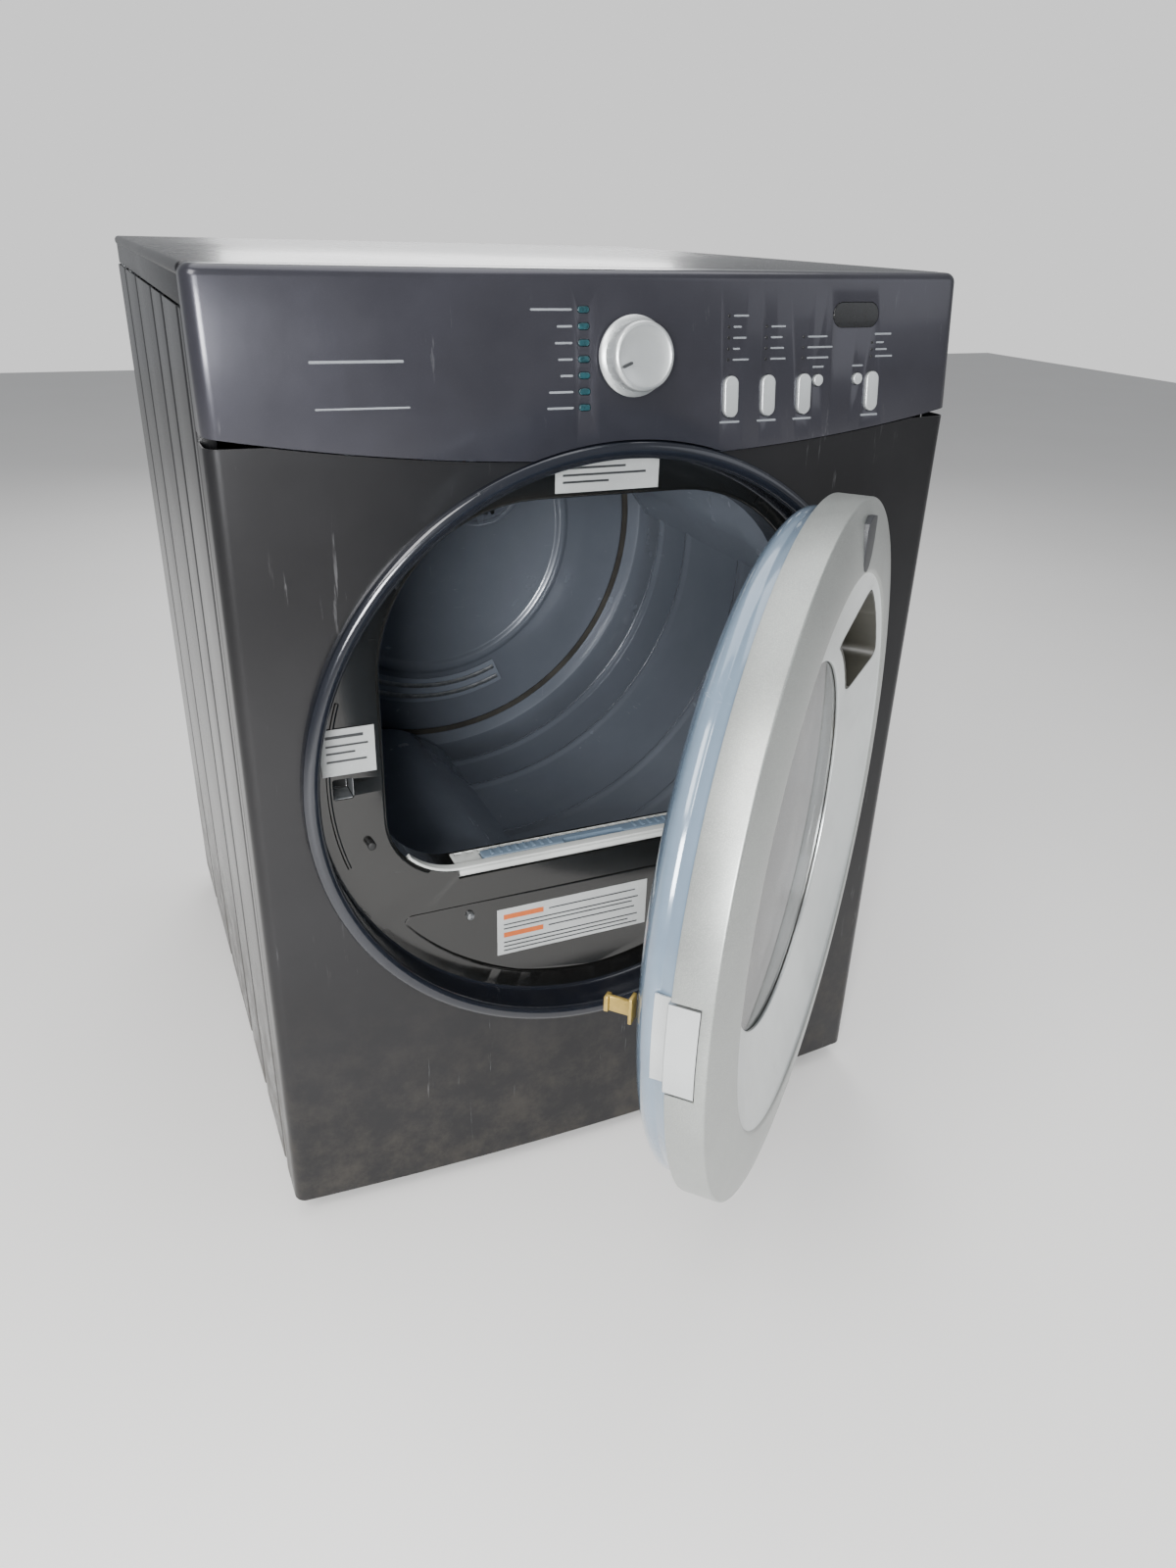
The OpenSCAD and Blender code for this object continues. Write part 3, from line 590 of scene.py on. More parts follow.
class Graph:
    """The nodes of one material."""

    def __init__(self, name: str) -> None:
        """Starts a material with its shader and output.

        Args:
            name: the material's name.
        """
        self.material = bpy.data.materials.new(name)
        self.material.use_nodes = True
        self.tree = self.material.node_tree
        self.tree.nodes.clear()
        self.output = self.tree.nodes.new("ShaderNodeOutputMaterial")
        self.shader = self.tree.nodes.new("ShaderNodeBsdfPrincipled")
        self.tree.links.new(self.shader.outputs[0], self.output.inputs[0])
        self._object = self.tree.nodes.new("ShaderNodeTexCoord").outputs["Object"]

    def node(self, kind: str, settings: dict, values: dict, out: int | str = 0) -> Sock:
        """Adds a node.

        Args:
            kind: the node's type.
            settings: its properties, set first; a ramp's stops come as "stops".
            values: its inputs by number or name, as numbers or links.
            out: which output is wanted.

        Returns:
            The output.
        """
        made = self.tree.nodes.new(kind)
        for key, value in settings.items():
            if key == "stops":
                for stop, (place, colour) in zip(made.color_ramp.elements, value):
                    stop.position, stop.color = place, colour
            else:
                setattr(made, key, value)
        for key, value in values.items():
            self.feed(made.inputs[key], value)
        return Sock(self, made.outputs[out])

    def feed(self, socket: bpy.types.NodeSocket, value: "Sock | float | Sequence[float]") -> None:
        """Sets or links an input.

        Args:
            socket: the input.
            value: a number, a colour or a link.
        """
        if isinstance(value, Sock):
            self.tree.links.new(value.out, socket)
        else:
            socket.default_value = value

    def place(self, scale: Place = (1.0, 1.0, 1.0), turn: Place = (0.0, 0.0, 0.0), move: Place = (0.0, 0.0, 0.0)) -> Sock:
        """The object's own coordinates in metres, scaled, turned and moved."""
        return self.node(
            "ShaderNodeMapping", {}, {0: Sock(self, self._object), 1: move, 2: turn, 3: scale}
        )

    def axis(self, which: int) -> Sock:
        """One of the object's own coordinates in metres."""
        return self.node("ShaderNodeSeparateXYZ", {}, {0: Sock(self, self._object)}, which)

    def noise(self, scale: float, detail: float = 3.0, rough: float = 0.55, place: "Sock | None" = None) -> Sock:
        """Noise of a number of blobs to the metre."""
        return self.node(
            "ShaderNodeTexNoise", {}, {"Vector": place or self.place(), "Scale": scale, "Detail": detail, "Roughness": rough}
        )

    def mix(self, amount: "Sock | float", a: "Sock | Sequence[float]", b: "Sock | Sequence[float]") -> Sock:
        """A blend of two colours."""
        return self.node("ShaderNodeMix", {"data_type": "RGBA"}, {0: amount, 6: a, 7: b}, 2)

    def bump(self, height: Sock, distance: float, strength: float = 1.0) -> Sock:
        """A bump of a height in metres."""
        return self.node("ShaderNodeBump", {}, {"Strength": strength, "Distance": distance, "Height": height})

    def set(self, **values: "Sock | float | Sequence[float]") -> None:
        """Feeds the shader's inputs, named with underscores for spaces."""
        for key, value in values.items():
            self.feed(self.shader.inputs[key.replace("_", " ")], value)


def tone(hexa: str, gain: float = 1.0) -> tuple[float, float, float, float]:
    """A colour in linear light.

    Args:
        hexa: the colour as six hexadecimal digits.
        gain: a factor on its brightness.

    Returns:
        Red, green, blue and 1.
    """
    parts = [int(hexa[i : i + 2], 16) / 255 for i in (0, 2, 4)]
    linear = [p / 12.92 if p <= 0.04045 else ((p + 0.055) / 1.055) ** 2.4 for p in parts]
    return (min(linear[0] * gain, 1), min(linear[1] * gain, 1), min(linear[2] * gain, 1), 1.0)


# ---------------------------------------------------------------- finishes


@dataclass(frozen=True)
class Paint:
    """A sprayed metallic paint with fine flakes, cloudy gloss, scuffs and grime low down."""

    name: str
    colour: str
    metallic: float = 0.35
    rough: float = 0.3
    coat: float = 0.4
    scuffs: float = 0.35
    grime: float = 0.3
    scuff_colour: str = "8d8d90"

    def make(self) -> bpy.types.Material:
        """Builds the material."""
        g = Graph(self.name)
        cloud = g.noise(7.0, 4.0, 0.6)
        flakes = g.noise(2600.0, 1.0, 0.5)
        long_ways = g.place((60.0, 60.0, 4.0), (0.2, 0.35, 0.1))
        streaks = g.noise(3.0, 5.0, 0.65, long_ways)
        patches = g.noise(11.0, 3.0, 0.5)
        scuff = (streaks.ramp(0.62, 0.7) * patches.ramp(0.5, 0.66)) * self.scuffs
        low = (1.0 - g.axis(2).ramp(0.0, 0.32)) * self.grime * g.noise(30.0, 5.0, 0.7).ramp(0.35, 0.75)
        base = g.mix(cloud.ramp(0.3, 0.7), tone(self.colour, 0.86), tone(self.colour, 1.12))
        base = g.mix(flakes.ramp(0.55, 0.8) * 0.25, base, tone(self.colour, 2.2))
        base = g.mix(scuff, base, tone(self.scuff_colour))
        base = g.mix(low, base, tone("6d675e"))
        g.set(
            Base_Color=base,
            Metallic=self.metallic,
            Roughness=(cloud * 0.12 + (self.rough - 0.06) + scuff * 0.3 + low * 0.5).clamp(),
            Coat_Weight=(self.coat - scuff - low).clamp(),
            Coat_Roughness=0.12,
            Normal=g.bump(flakes + g.noise(160.0, 2.0) * 6.0, 0.00001, 0.6),
        )
        return g.material


@dataclass(frozen=True)
class Gloss:
    """A moulded or lacquered surface: slight ripple, fine dust and hairline marks."""

    name: str
    colour: str
    rough: float = 0.18
    metallic: float = 0.0
    coat: float = 0.5
    marks: float = 0.3
    mark_colour: str = "b8bcc0"
    ripple: float = 0.00004
    vary: float = 0.12

    def make(self) -> bpy.types.Material:
        """Builds the material."""
        g = Graph(self.name)
        cloud = g.noise(9.0, 4.0, 0.6)
        hair = g.noise(2.0, 4.0, 0.7, g.place((12.0, 12.0, 260.0), (0.5, 0.2, 0.9)))
        hair2 = g.noise(2.0, 4.0, 0.7, g.place((260.0, 14.0, 14.0), (0.3, 0.7, 0.4)))
        patches = g.noise(16.0, 3.0, 0.5).ramp(0.45, 0.7)
        mark = (hair.ramp(0.66, 0.72) + hair2.ramp(0.67, 0.73)).clamp() * patches * self.marks
        dust = g.noise(900.0, 2.0, 0.7).ramp(0.68, 0.76) * 0.35 * self.marks
        base = g.mix(cloud.ramp(0.25, 0.75), tone(self.colour, 1.0 - self.vary), tone(self.colour, 1.0 + self.vary))
        base = g.mix((mark + dust).clamp(), base, tone(self.mark_colour))
        g.set(
            Base_Color=base,
            Metallic=self.metallic,
            Roughness=(cloud * 0.1 + (self.rough - 0.05) + mark * 0.4 + dust).clamp(),
            Coat_Weight=(self.coat - mark).clamp(),
            Coat_Roughness=0.08,
            Normal=g.bump(g.noise(55.0, 2.0), self.ripple, 0.7),
        )
        return g.material


@dataclass(frozen=True)
class Satin:
    """Silver paint over metal, with fine sparkle, soft clouds and rubbed streaks."""

    name: str
    colour: str
    metallic: float = 0.75
    rough: float = 0.32
    sparkle: float = 0.35
    dirt: float = 0.2

    def make(self) -> bpy.types.Material:
        """Builds the material."""
        g = Graph(self.name)
        flakes = g.noise(3200.0, 1.0, 0.5)
        cloud = g.noise(10.0, 4.0, 0.6)
        streak = g.noise(3.0, 5.0, 0.7, g.place((8.0, 8.0, 90.0), (0.1, 0.6, 0.2)))
        dirt = streak.ramp(0.58, 0.8) * g.noise(14.0, 3.0).ramp(0.45, 0.7) * self.dirt
        base = g.mix(cloud.ramp(0.3, 0.7), tone(self.colour, 0.9), tone(self.colour, 1.06))
        base = g.mix(flakes.ramp(0.5, 0.8) * self.sparkle, base, tone("ffffff"))
        base = g.mix(dirt, base, tone("6a655c"))
        g.set(
            Base_Color=base,
            Metallic=self.metallic,
            Roughness=(cloud * 0.1 + (self.rough - 0.05) + flakes * 0.12 + dirt * 0.5).clamp(),
            Coat_Weight=0.25,
            Coat_Roughness=0.2,
            Normal=g.bump(flakes, 0.00001, 0.35),
        )
        return g.material


@dataclass(frozen=True)
class Galvanised:
    """Bare zinc-coated sheet: large pale crystals, rolling lines and dull stains."""

    name: str
    colour: str
    crystal: float = 90.0
    rough: float = 0.38

    def make(self) -> bpy.types.Material:
        """Builds the material."""
        g = Graph(self.name)
        cells = g.node("ShaderNodeTexVoronoi", {}, {"Vector": g.place(), "Scale": self.crystal}, "Color")
        grey = g.node("ShaderNodeSeparateColor", {}, {0: cells})
        lines = g.noise(2.0, 4.0, 0.7, g.place((6.0, 6.0, 500.0)))
        stain = g.noise(12.0, 5.0, 0.65).ramp(0.5, 0.75)
        base = g.mix(grey, tone(self.colour, 0.82), tone(self.colour, 1.12))
        base = g.mix(stain * 0.3, base, tone("5f5a52"))
        g.set(
            Base_Color=base,
            Metallic=0.85,
            Roughness=(grey * 0.1 + self.rough + stain * 0.15 + lines * 0.06).clamp(),
            Normal=g.bump(lines, 0.00001, 0.5),
        )
        return g.material


@dataclass(frozen=True)
class Matte:
    """A dull moulded or rubbery surface with a fine grain and rubbed patches."""

    name: str
    colour: str
    rough: float = 0.65
    grain: float = 700.0
    depth: float = 0.00006
    vary: float = 0.2
    metallic: float = 0.0

    def make(self) -> bpy.types.Material:
        """Builds the material."""
        g = Graph(self.name)
        grain = g.noise(self.grain, 2.0, 0.6)
        cloud = g.noise(18.0, 4.0, 0.6)
        base = g.mix(cloud.ramp(0.3, 0.7), tone(self.colour, 1.0 - self.vary), tone(self.colour, 1.0 + self.vary))
        base = g.mix(grain.ramp(0.6, 0.75) * 0.2, base, tone(self.colour, 1.9))
        g.set(
            Base_Color=base,
            Metallic=self.metallic,
            Roughness=(cloud * 0.15 + (self.rough - 0.07)).clamp(),
            Normal=g.bump(grain, self.depth, 0.8),
        )
        return g.material


@dataclass(frozen=True)
class Glass:
    """Smoky glass with a faint haze of dust and wiped marks."""

    name: str
    colour: str
    alpha: float = 0.45

    def make(self) -> bpy.types.Material:
        """Builds the material."""
        g = Graph(self.name)
        haze = g.noise(14.0, 5.0, 0.65).ramp(0.4, 0.8)
        wipe = g.noise(2.0, 4.0, 0.6, g.place((10.0, 10.0, 60.0), (0.2, 0.4, 0.7))).ramp(0.55, 0.75)
        g.set(
            Base_Color=g.mix(haze * 0.35, tone(self.colour), tone("8a8982")),
            Metallic=0.0,
            Roughness=(haze * 0.08 + wipe * 0.05 + 0.04).clamp(),
            IOR=1.5,
            Alpha=(haze * 0.1 + wipe * 0.05 + self.alpha).clamp(),
            Coat_Weight=0.4,
            Normal=g.bump(g.noise(8.0, 2.0), 0.0002, 0.2),
        )
        return g.material


@dataclass(frozen=True)
class Mesh:
    """A woven screen seen as crossing threads."""

    name: str
    colour: str
    pitch: float = 0.0016

    def make(self) -> bpy.types.Material:
        """Builds the material."""
        g = Graph(self.name)
        turn = math.pi / self.pitch
        across = (g.axis(0) * turn).sine().size()
        up = (g.axis(2) * turn).sine().size()
        thread = across._math("MAXIMUM", up)
        fluff = g.noise(60.0, 5.0, 0.7).ramp(0.5, 0.8)
        g.set(
            Base_Color=g.mix(fluff * 0.5, tone(self.colour), tone("8c8f96")),
            Roughness=(fluff * 0.2 + 0.6).clamp(),
            Alpha=((thread - 0.78) * 8.0 + fluff * 0.6).clamp(),
            Normal=g.bump(thread, 0.0003, 0.7),
        )
        return g.material


@dataclass(frozen=True)
class Lit:
    """A dark lens with a faint depth behind it."""

    name: str
    colour: str
    glow: float = 0.0

    def make(self) -> bpy.types.Material:
        """Builds the material."""
        g = Graph(self.name)
        depth = g.noise(220.0, 2.0, 0.6)
        g.set(
            Base_Color=g.mix(depth.ramp(0.3, 0.7), tone(self.colour, 0.7), tone(self.colour, 1.4)),
            Roughness=(depth * 0.06 + 0.25).clamp(),
            Coat_Weight=0.15,
            Emission_Color=tone(self.colour),
            Emission_Strength=self.glow,
            Normal=g.bump(depth, 0.00002, 0.4),
        )
        return g.material


class Finishes:
    """All of the dryer's materials, made once and shared."""

    RECIPES = (
        Paint("graphite_front", "1e1e20", metallic=0.5, rough=0.34, coat=0.18, scuffs=0.3, grime=0.25),
        Paint("graphite_console", "38383f", metallic=0.6, rough=0.3, coat=0.3, scuffs=0.22, grime=0.0),
        Paint("black_side", "0d0d10", metallic=0.2, rough=0.26, coat=0.15, scuffs=0.55, grime=0.5, scuff_colour="77787c"),
        Paint("lip_navy", "1b1e26", metallic=0.4, rough=0.2, coat=0.7, scuffs=0.2, grime=0.2),
        Gloss("bulkhead_black", "0f0f0e", rough=0.16, coat=0.4, marks=0.35, mark_colour="5d6268"),
        Gloss("drum_blue_grey", "6b717b", rough=0.26, metallic=0.2, coat=0.5, marks=0.1, mark_colour="8b96a2", vary=0.05),
        Gloss("vane_blue_grey", "747b86", rough=0.26, coat=0.3, marks=0.12, mark_colour="9aa3ad", vary=0.05),
        Satin("door_silver", "969a97", metallic=0.75, rough=0.38, sparkle=0.5, dirt=0.3),
        Satin("bowl_silver", "d0d5d5", metallic=0.85, rough=0.24, sparkle=0.15, dirt=0.25),
        Satin("key_silver", "c0c4c5", metallic=0.7, rough=0.3, sparkle=0.2, dirt=0.15),
        Gloss("liner_blue_grey", "68798a", rough=0.16, metallic=0.15, coat=0.7, marks=0.35, mark_colour="c6ccd2"),
        Gloss("sill_pale", "b9bcba", rough=0.3, coat=0.3, marks=0.4, mark_colour="77777a"),
        Gloss("badge_grey", "24262a", rough=0.5, coat=0.0, marks=0.1),
        Matte("cup_olive", "2c2b24", rough=0.5),
        Matte("black_plastic", "141516", rough=0.55),
        Matte("rubber", "17181a", rough=0.75, grain=1200.0),
        Matte("felt_grey", "3a3834", rough=0.95, grain=1500.0, depth=0.0006, vary=0.3),
        Matte("duct_white", "b9bbb9", rough=0.5),
        Matte("board_green", "1f4a30", rough=0.45),
        Matte("ceramic_tan", "8c6b3e", rough=0.7),
        Matte("label_pale", "a3a6a6", rough=0.45, grain=400.0, depth=0.00001, vary=0.08),
        Matte("label_dark", "2b2d2f", rough=0.5, grain=400.0, depth=0.00001, vary=0.1),
        Matte("label_orange", "b3561f", rough=0.5, grain=400.0, depth=0.00001, vary=0.1),
        Matte("print_grey", "74787d", rough=0.5, grain=900.0, depth=0.000005, vary=0.1),
        Galvanised("galvanised", "9a9da0"),
        Galvanised("zinc_yellow", "a8904f", crystal=220.0, rough=0.33),
        Galvanised("steel_part", "8a8d90", crystal=260.0, rough=0.3),
        Galvanised("wire_brown", "6b4c38", crystal=400.0, rough=0.5),
        Glass("smoky_glass", "2b261e", alpha=0.62),
        Mesh("screen", "c9ccca"),
        Lit("lens_teal", "12343a", 0.15),
        Lit("lens_dark", "0a0b0d"),
    )

    def __init__(self) -> None:
        """Builds every material."""
        self.made = {recipe.name: recipe.make() for recipe in self.RECIPES}

    def dress(self, piece: bpy.types.Object, name: str) -> None:
        """Gives a piece one finish all over.

        Args:
            piece: the piece.
            name: the finish's name.
        """
        piece.data.materials.clear()
        piece.data.materials.append(self.made[name])

    def patch(self, piece: bpy.types.Object, name: str, test: Callable[[Vector, Vector], bool]) -> None:
        """Gives some of a piece's faces a second finish.

        Args:
            piece: the piece.
            name: the finish's name.
            test: takes a face's middle and normal.
        """
        piece.data.materials.append(self.made[name])
        index = len(piece.data.materials) - 1
        for face in piece.data.polygons:
            if test(face.center, face.normal):
                face.material_index = index


# ---------------------------------------------------------------- sub-assemblies


@dataclass
class Assembly:
    """What every sub-assembly shares: its finishes and how a finished piece is handed over."""

    finishes: Finishes

    def hand_over(
        self,
        piece: bpy.types.Object,
        body: str,
        finish: str,
        slot: str,
        replaces: Sequence[str] = (),
    ) -> bpy.types.Object:
        """Dresses a piece, lets it ride on a body and reports it.

        Args:
            piece: the finished mesh.
            body: the CAD body that carries it.
            finish: the finish's name.
            slot: the record's material slot; not used.
            replaces: the CAD nodes that it stands for.

        Returns:
            The piece.
        """
        if not piece.data.materials:
            self.finishes.dress(piece, finish)
        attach(piece, body)
        if replaces:
            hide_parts(*replaces)
        LOG.info("%s: %d faces on %s", piece.name, len(piece.data.polygons), body)
        return piece


@dataclass
class Cabinet(Assembly):
    """The sides, top and bowed front with its round lip."""

    sheet: float = 1.2
    beads: tuple[float, ...] = (62.0, 188.0, 290.0, 466.0, 622.0)
    bead_depth: float = 3.0
    seam_back: float = 35.0
    rim_z: float = 904.0
    lip_r: float = 299.0
    recess_r: float = 284.0
    crest: float = -19.0

    def side_outline(self, sign: int) -> list[Place]:
        """The plan of a beaded side panel.

        Args:
            sign: 1 for the right panel, -1 for the left one.

        Returns:
            The closed outline at the skirt's level.
        """
        x = DATUM.half_w
        outer = [(x - 14, self.seam_back), (x - 2, self.seam_back), (x - 0.6, self.seam_back + 0.5), (x, self.seam_back + 2)]
        for middle in self.beads:
            for i in range(13):
                step = (i - 6) * 1.6
                outer.append((x - self.bead_depth * (0.5 + 0.5 * math.cos(step / 9.6 * math.pi)), middle + step))
        outer += [(x, DATUM.cab_depth - 4), (x - 0.6, DATUM.cab_depth - 2.5), (x - 2, DATUM.cab_depth - 2)]
        inner = [(px - self.sheet, min(py, DATUM.cab_depth - 3.2)) for px, py in reversed(outer[3:])]
        inner += [(x - 3.2, self.seam_back + self.sheet), (x - 14, self.seam_back + self.sheet)]
        return [(sign * px, py, DATUM.skirt) for px, py in outer + inner]

    def sides(self) -> None:
        """The two beaded side panels."""
        tall = DATUM.height - 31 - DATUM.skirt
        for name, sign in (("left_side_panel", -1), ("right_side_panel", 1)):
            piece = Bench.prism(f"{name}_sheet", self.side_outline(sign), (0, 0, tall))
            Bench.smooth(piece, 30)
            self.hand_over(piece, "cabinet", "black_side", "cabinet_paint", [name])

    def top(self) -> None:
        """The top panel with its rolled rim."""
        w, back, z = DATUM.half_w, DATUM.cab_depth + 2, DATUM.height
        front = self.seam_back
        slab = Bench.block("top_panel_sheet", (-w, front, self.rim_z), (w, back, z), 4.5, 5)
        skirt = Bench.block("top_skirt", (-w + 1.6, front + 1, z - 30), (w - 1.6, back - 1.6, self.rim_z + 3), 0.8, 2)
        piece = Bench.join("top_panel_sheet", (slab, skirt))
        Bench.smooth(piece, 40)
        self.hand_over(piece, "cabinet", "black_side", "cabinet_paint", ["top_panel"])

    def front_outline(self, inset: float, back: float, z: float) -> list[Place]:
        """The plan of the bowed front with rounded corners.

        Args:
            inset: how far it is set in.
            back: the y of its open ends.
            z: the level it is drawn at.

        Returns:
            The open outline from left to right.
        """
        w, r = DATUM.half_w - inset, DATUM.corner - inset
        x1 = DATUM.half_w - DATUM.corner
        y1 = DATUM.front(x1) + DATUM.corner
        left = [(-w, back, z)]
        left += [(-x1 - r * math.cos(i * math.pi / 16), y1 - r * math.sin(i * math.pi / 16), z) for i in range(9)]
        middle = [(x1 * (i / 24 - 1), DATUM.front(x1 * (i / 24 - 1)) + inset, z) for i in range(1, 48)]
        return left + middle + [(-x, y, z) for x, y, _z in reversed(left)]

    def front(self) -> None:
        """The bowed front sheet below the console, with the hole for the lip."""
        back = self.seam_back - 1
        outline = self.front_outline(0, back, DATUM.skirt)
        outline += list(reversed(self.front_outline(self.sheet, back, DATUM.skirt)))
        piece = Bench.prism("front_panel_sheet", outline, (0, 0, 790 - DATUM.skirt))
        seam_r = (DATUM.half_w**2 + DATUM.seam_dip**2) / (2 * DATUM.seam_dip)
        arc = Bench.turned("seam_tool", [(0, -60), (seam_r, -60), (seam_r, 60), (0, 60)], 0,
                           DATUM.seam_z - DATUM.seam_dip + seam_r, steps=1440, arc=(258, 282))
        Bench.cut(piece, arc)
        hole = Bench.turned("lip_tool", [(0, -60), (self.lip_r - 0.5, -60), (self.lip_r - 0.5, 60), (0, 60)], 0, DATUM.door_z, 256)
        Bench.cut(piece, hole)
        Bench.smooth(piece, 30)
        self.hand_over(piece, "cabinet", "graphite_front", "cabinet_paint", ["front_panel"])

    def lip(self) -> None:
        """The raised lip round the door, a formed ring over a rounded crest."""
        mid = (self.lip_r + self.recess_r) / 2
        half = (self.lip_r - self.recess_r) / 2
        outside = [(self.lip_r + 0.4, 5.0), (self.lip_r, self.crest + 7)]
        outside += [(mid + half * math.cos(a), self.crest + 6 - 6 * math.sin(a)) for a in (i * math.pi / 14 for i in range(1, 14))]
        outside += [(self.recess_r, self.crest + 7), (self.recess_r, 14), (self.recess_r - 1.2, 18.4), (self.recess_r - 3, 19.7)]
        inside = [(self.recess_r + 6, 19.7), (self.recess_r + 2, 6), (self.recess_r + 2.5, self.crest + 9),
                  (mid, self.crest + 2.5), (self.lip_r - 2.5, self.crest + 9), (self.lip_r - 1.6, 5.0)]
        piece = Bench.turned("door_lip", outside + inside, 0, DATUM.door_z, 224)
        Bench.smooth(piece, 50)
        self.hand_over(piece, "cabinet", "lip_navy", "cabinet_paint", ["front_panel"])

    def build(self) -> None:
        """Builds the cabinet's outside."""
        self.sides()
        self.top()
        self.front()
        self.lip()


@dataclass
class Console(Assembly):
    """The leaning console with its knob, buttons, display, lamps and printed marks."""

    seam_gap: float = 1.2
    depth: float = 34.0
    knob: Point = (0.0, 850.0)
    knob_r: float = 31.5
    pill_xs: tuple[float, ...] = (94.0, 132.0, 170.0, 246.0)
    pill_z: float = 816.0
    round_xs: tuple[float, ...] = (185.0, 229.0)
    round_z: float = 827.0
    display: Point = (224.0, 880.0)

    def indicators(self) -> list[Point]:
        """The places of the cycle pills."""
        return [(-43.0, 885 - 12.2 * i) for i in range(7)]

    def lamps(self) -> list[Point]:
        """The places of the lamp dots."""
        rows = [(91, 880, 5, 8.6), (129, 871.4, 4, 8.6), (168, 862.8, 3, 8.6), (244, 857, 3, 5.8)]
        return [(x, z - step * i) for x, z, count, step in rows for i in range(count)]

    def shell(self) -> None:
        """The console's shell: bowed, leaning, rounded at the top, with its openings."""
        cabinet = Cabinet(self.finishes)
        z0 = DATUM.seam_z - 50
        outline = cabinet.front_outline(0, 80, z0)
        piece = Bench.prism("console_shell", outline, (0, 0, DATUM.height - z0))
        Bench.pick(piece, "EDGE", lambda c, d: c.z > (DATUM.height - 0.1) * MM and c.y < DATUM.world(0, 79, 0).y)
        bpy.ops.mesh.bevel(offset=8 * MM, segments=7, profile=0.5)
        Bench.clear()
        lean = math.tan(DATUM.lean)
        piece.data.transform(Matrix(((1, 0, 0, 0), (0, 1, lean, -lean * DATUM.seam_z * MM), (0, 0, 1, 0), (0, 0, 0, 1))))
        Bench.cut(piece, Bench.block("back_tool", (-400, self.depth, 600), (400, 140, 1000)))
        seam_r = (DATUM.half_w**2 + DATUM.seam_dip**2) / (2 * DATUM.seam_dip) - self.seam_gap
        top = DATUM.seam_z - DATUM.seam_dip + seam_r + self.seam_gap
        arc = Bench.turned("seam_tool", [(0, -60), (seam_r, -60), (seam_r, 60), (0, 60)], 0, top, steps=1440, arc=(256, 284))
        Bench.cut(piece, arc, "INTERSECT")
        hole = Bench.turned("lip_tool", [(0, -60), (300, -60), (300, 60), (0, 60)], 0, DATUM.door_z, 256)
        Bench.cut(piece, hole)
        tools = [Bench.put(Bench.pill("tool", 15.2, 35.2, (-10, 9)), DATUM.on_console(x, self.pill_z)) for x in self.pill_xs]
        tools += [Bench.put(Bench.pill("tool", 11, 11, (-10, 9)), DATUM.on_console(x, self.round_z)) for x in self.round_xs]
        tools += [Bench.put(Bench.pill("tool", 5.8, 10.8, (-10, 3), flat=True), DATUM.on_console(*p)) for p in self.indicators()]
        tools += [Bench.put(Bench.pill("tool", 21.4, 51.4, (-10, 2.5), flat=True), DATUM.on_console(*self.display))]
        Bench.cut(piece, Bench.join("tools", tools))
        Bench.smooth(piece, 32, edge=0.5)
        self.hand_over(piece, "cabinet", "graphite_console", "cabinet_paint", ["control_panel"])

    def keys(self) -> None:
        """The push buttons, each crowned and on its own body."""
        names = ("temperature", "dryness", "options", "start")
        for name, x in zip(names, self.pill_xs):
            key = Bench.pill(f"{name}_key", 14, 34, (-3.0, 7.1), 1.6)
            Bench.put(key, DATUM.on_console(x, self.pill_z))
            Bench.smooth(key, 40)
            self.hand_over(key, name, "key_silver", "silver_plastic", [f"{name}_button"])
        for name, x in zip(("select", "cancel"), self.round_xs):
            key = Bench.pill(f"{name}_key", 9.8, 9.8, (-2.6, 7.1), 1.2)
            Bench.put(key, DATUM.on_console(x, self.round_z))
            Bench.smooth(key, 40)
            self.hand_over(key, name, "key_silver", "silver_plastic", [f"{name}_button"])

    def dial(self) -> None:
        """The cycle knob: skirt, fluted grip and dished face."""
        r = self.knob_r
        body = Bench.turned("knob_body", [
            (0, -2), (r - 1.2, -2), (r, -2.8), (r, -4.6), (r - 1.2, -6), (r - 4.2, -7.2), (r - 4.4, -20),
            (r - 4.9, -22.4), (r - 6.2, -23.8), (r - 8, -24.2), (r - 10, -23.2), (12, -22.4), (0, -22.2)], 0, 0, 96)
        flutes = []
        for i in range(24):
            a = i * math.tau / 24
            flute = Bench.pill("flute", 1.4, 1.4, (-23, -7.4))
            flutes.append(Bench.put(flute, Matrix.Translation(Vector(((r - 3.9) * MM * math.cos(a), 0, (r - 3.9) * MM * math.sin(a))))))
        Bench.cut(body, Bench.join("flutes", flutes))
        mark = Bench.pill("mark", 2.2, 9, (-25.0, -22))
        mark = Bench.put(mark, Matrix.Rotation(math.radians(-112), 4, "Y") @ Matrix.Translation(Vector((0, 0, 17 * MM))))
        spot = DATUM.on_console(*self.knob)
        Bench.put(body, spot)
        Bench.put(mark, spot)
        Bench.smooth(body, 35)
        Bench.smooth(mark, 35)
        self.hand_over(body, "knob", "key_silver", "silver_plastic", ["cycle_knob"])
        self.hand_over(mark, "knob", "label_dark", "silver_plastic")

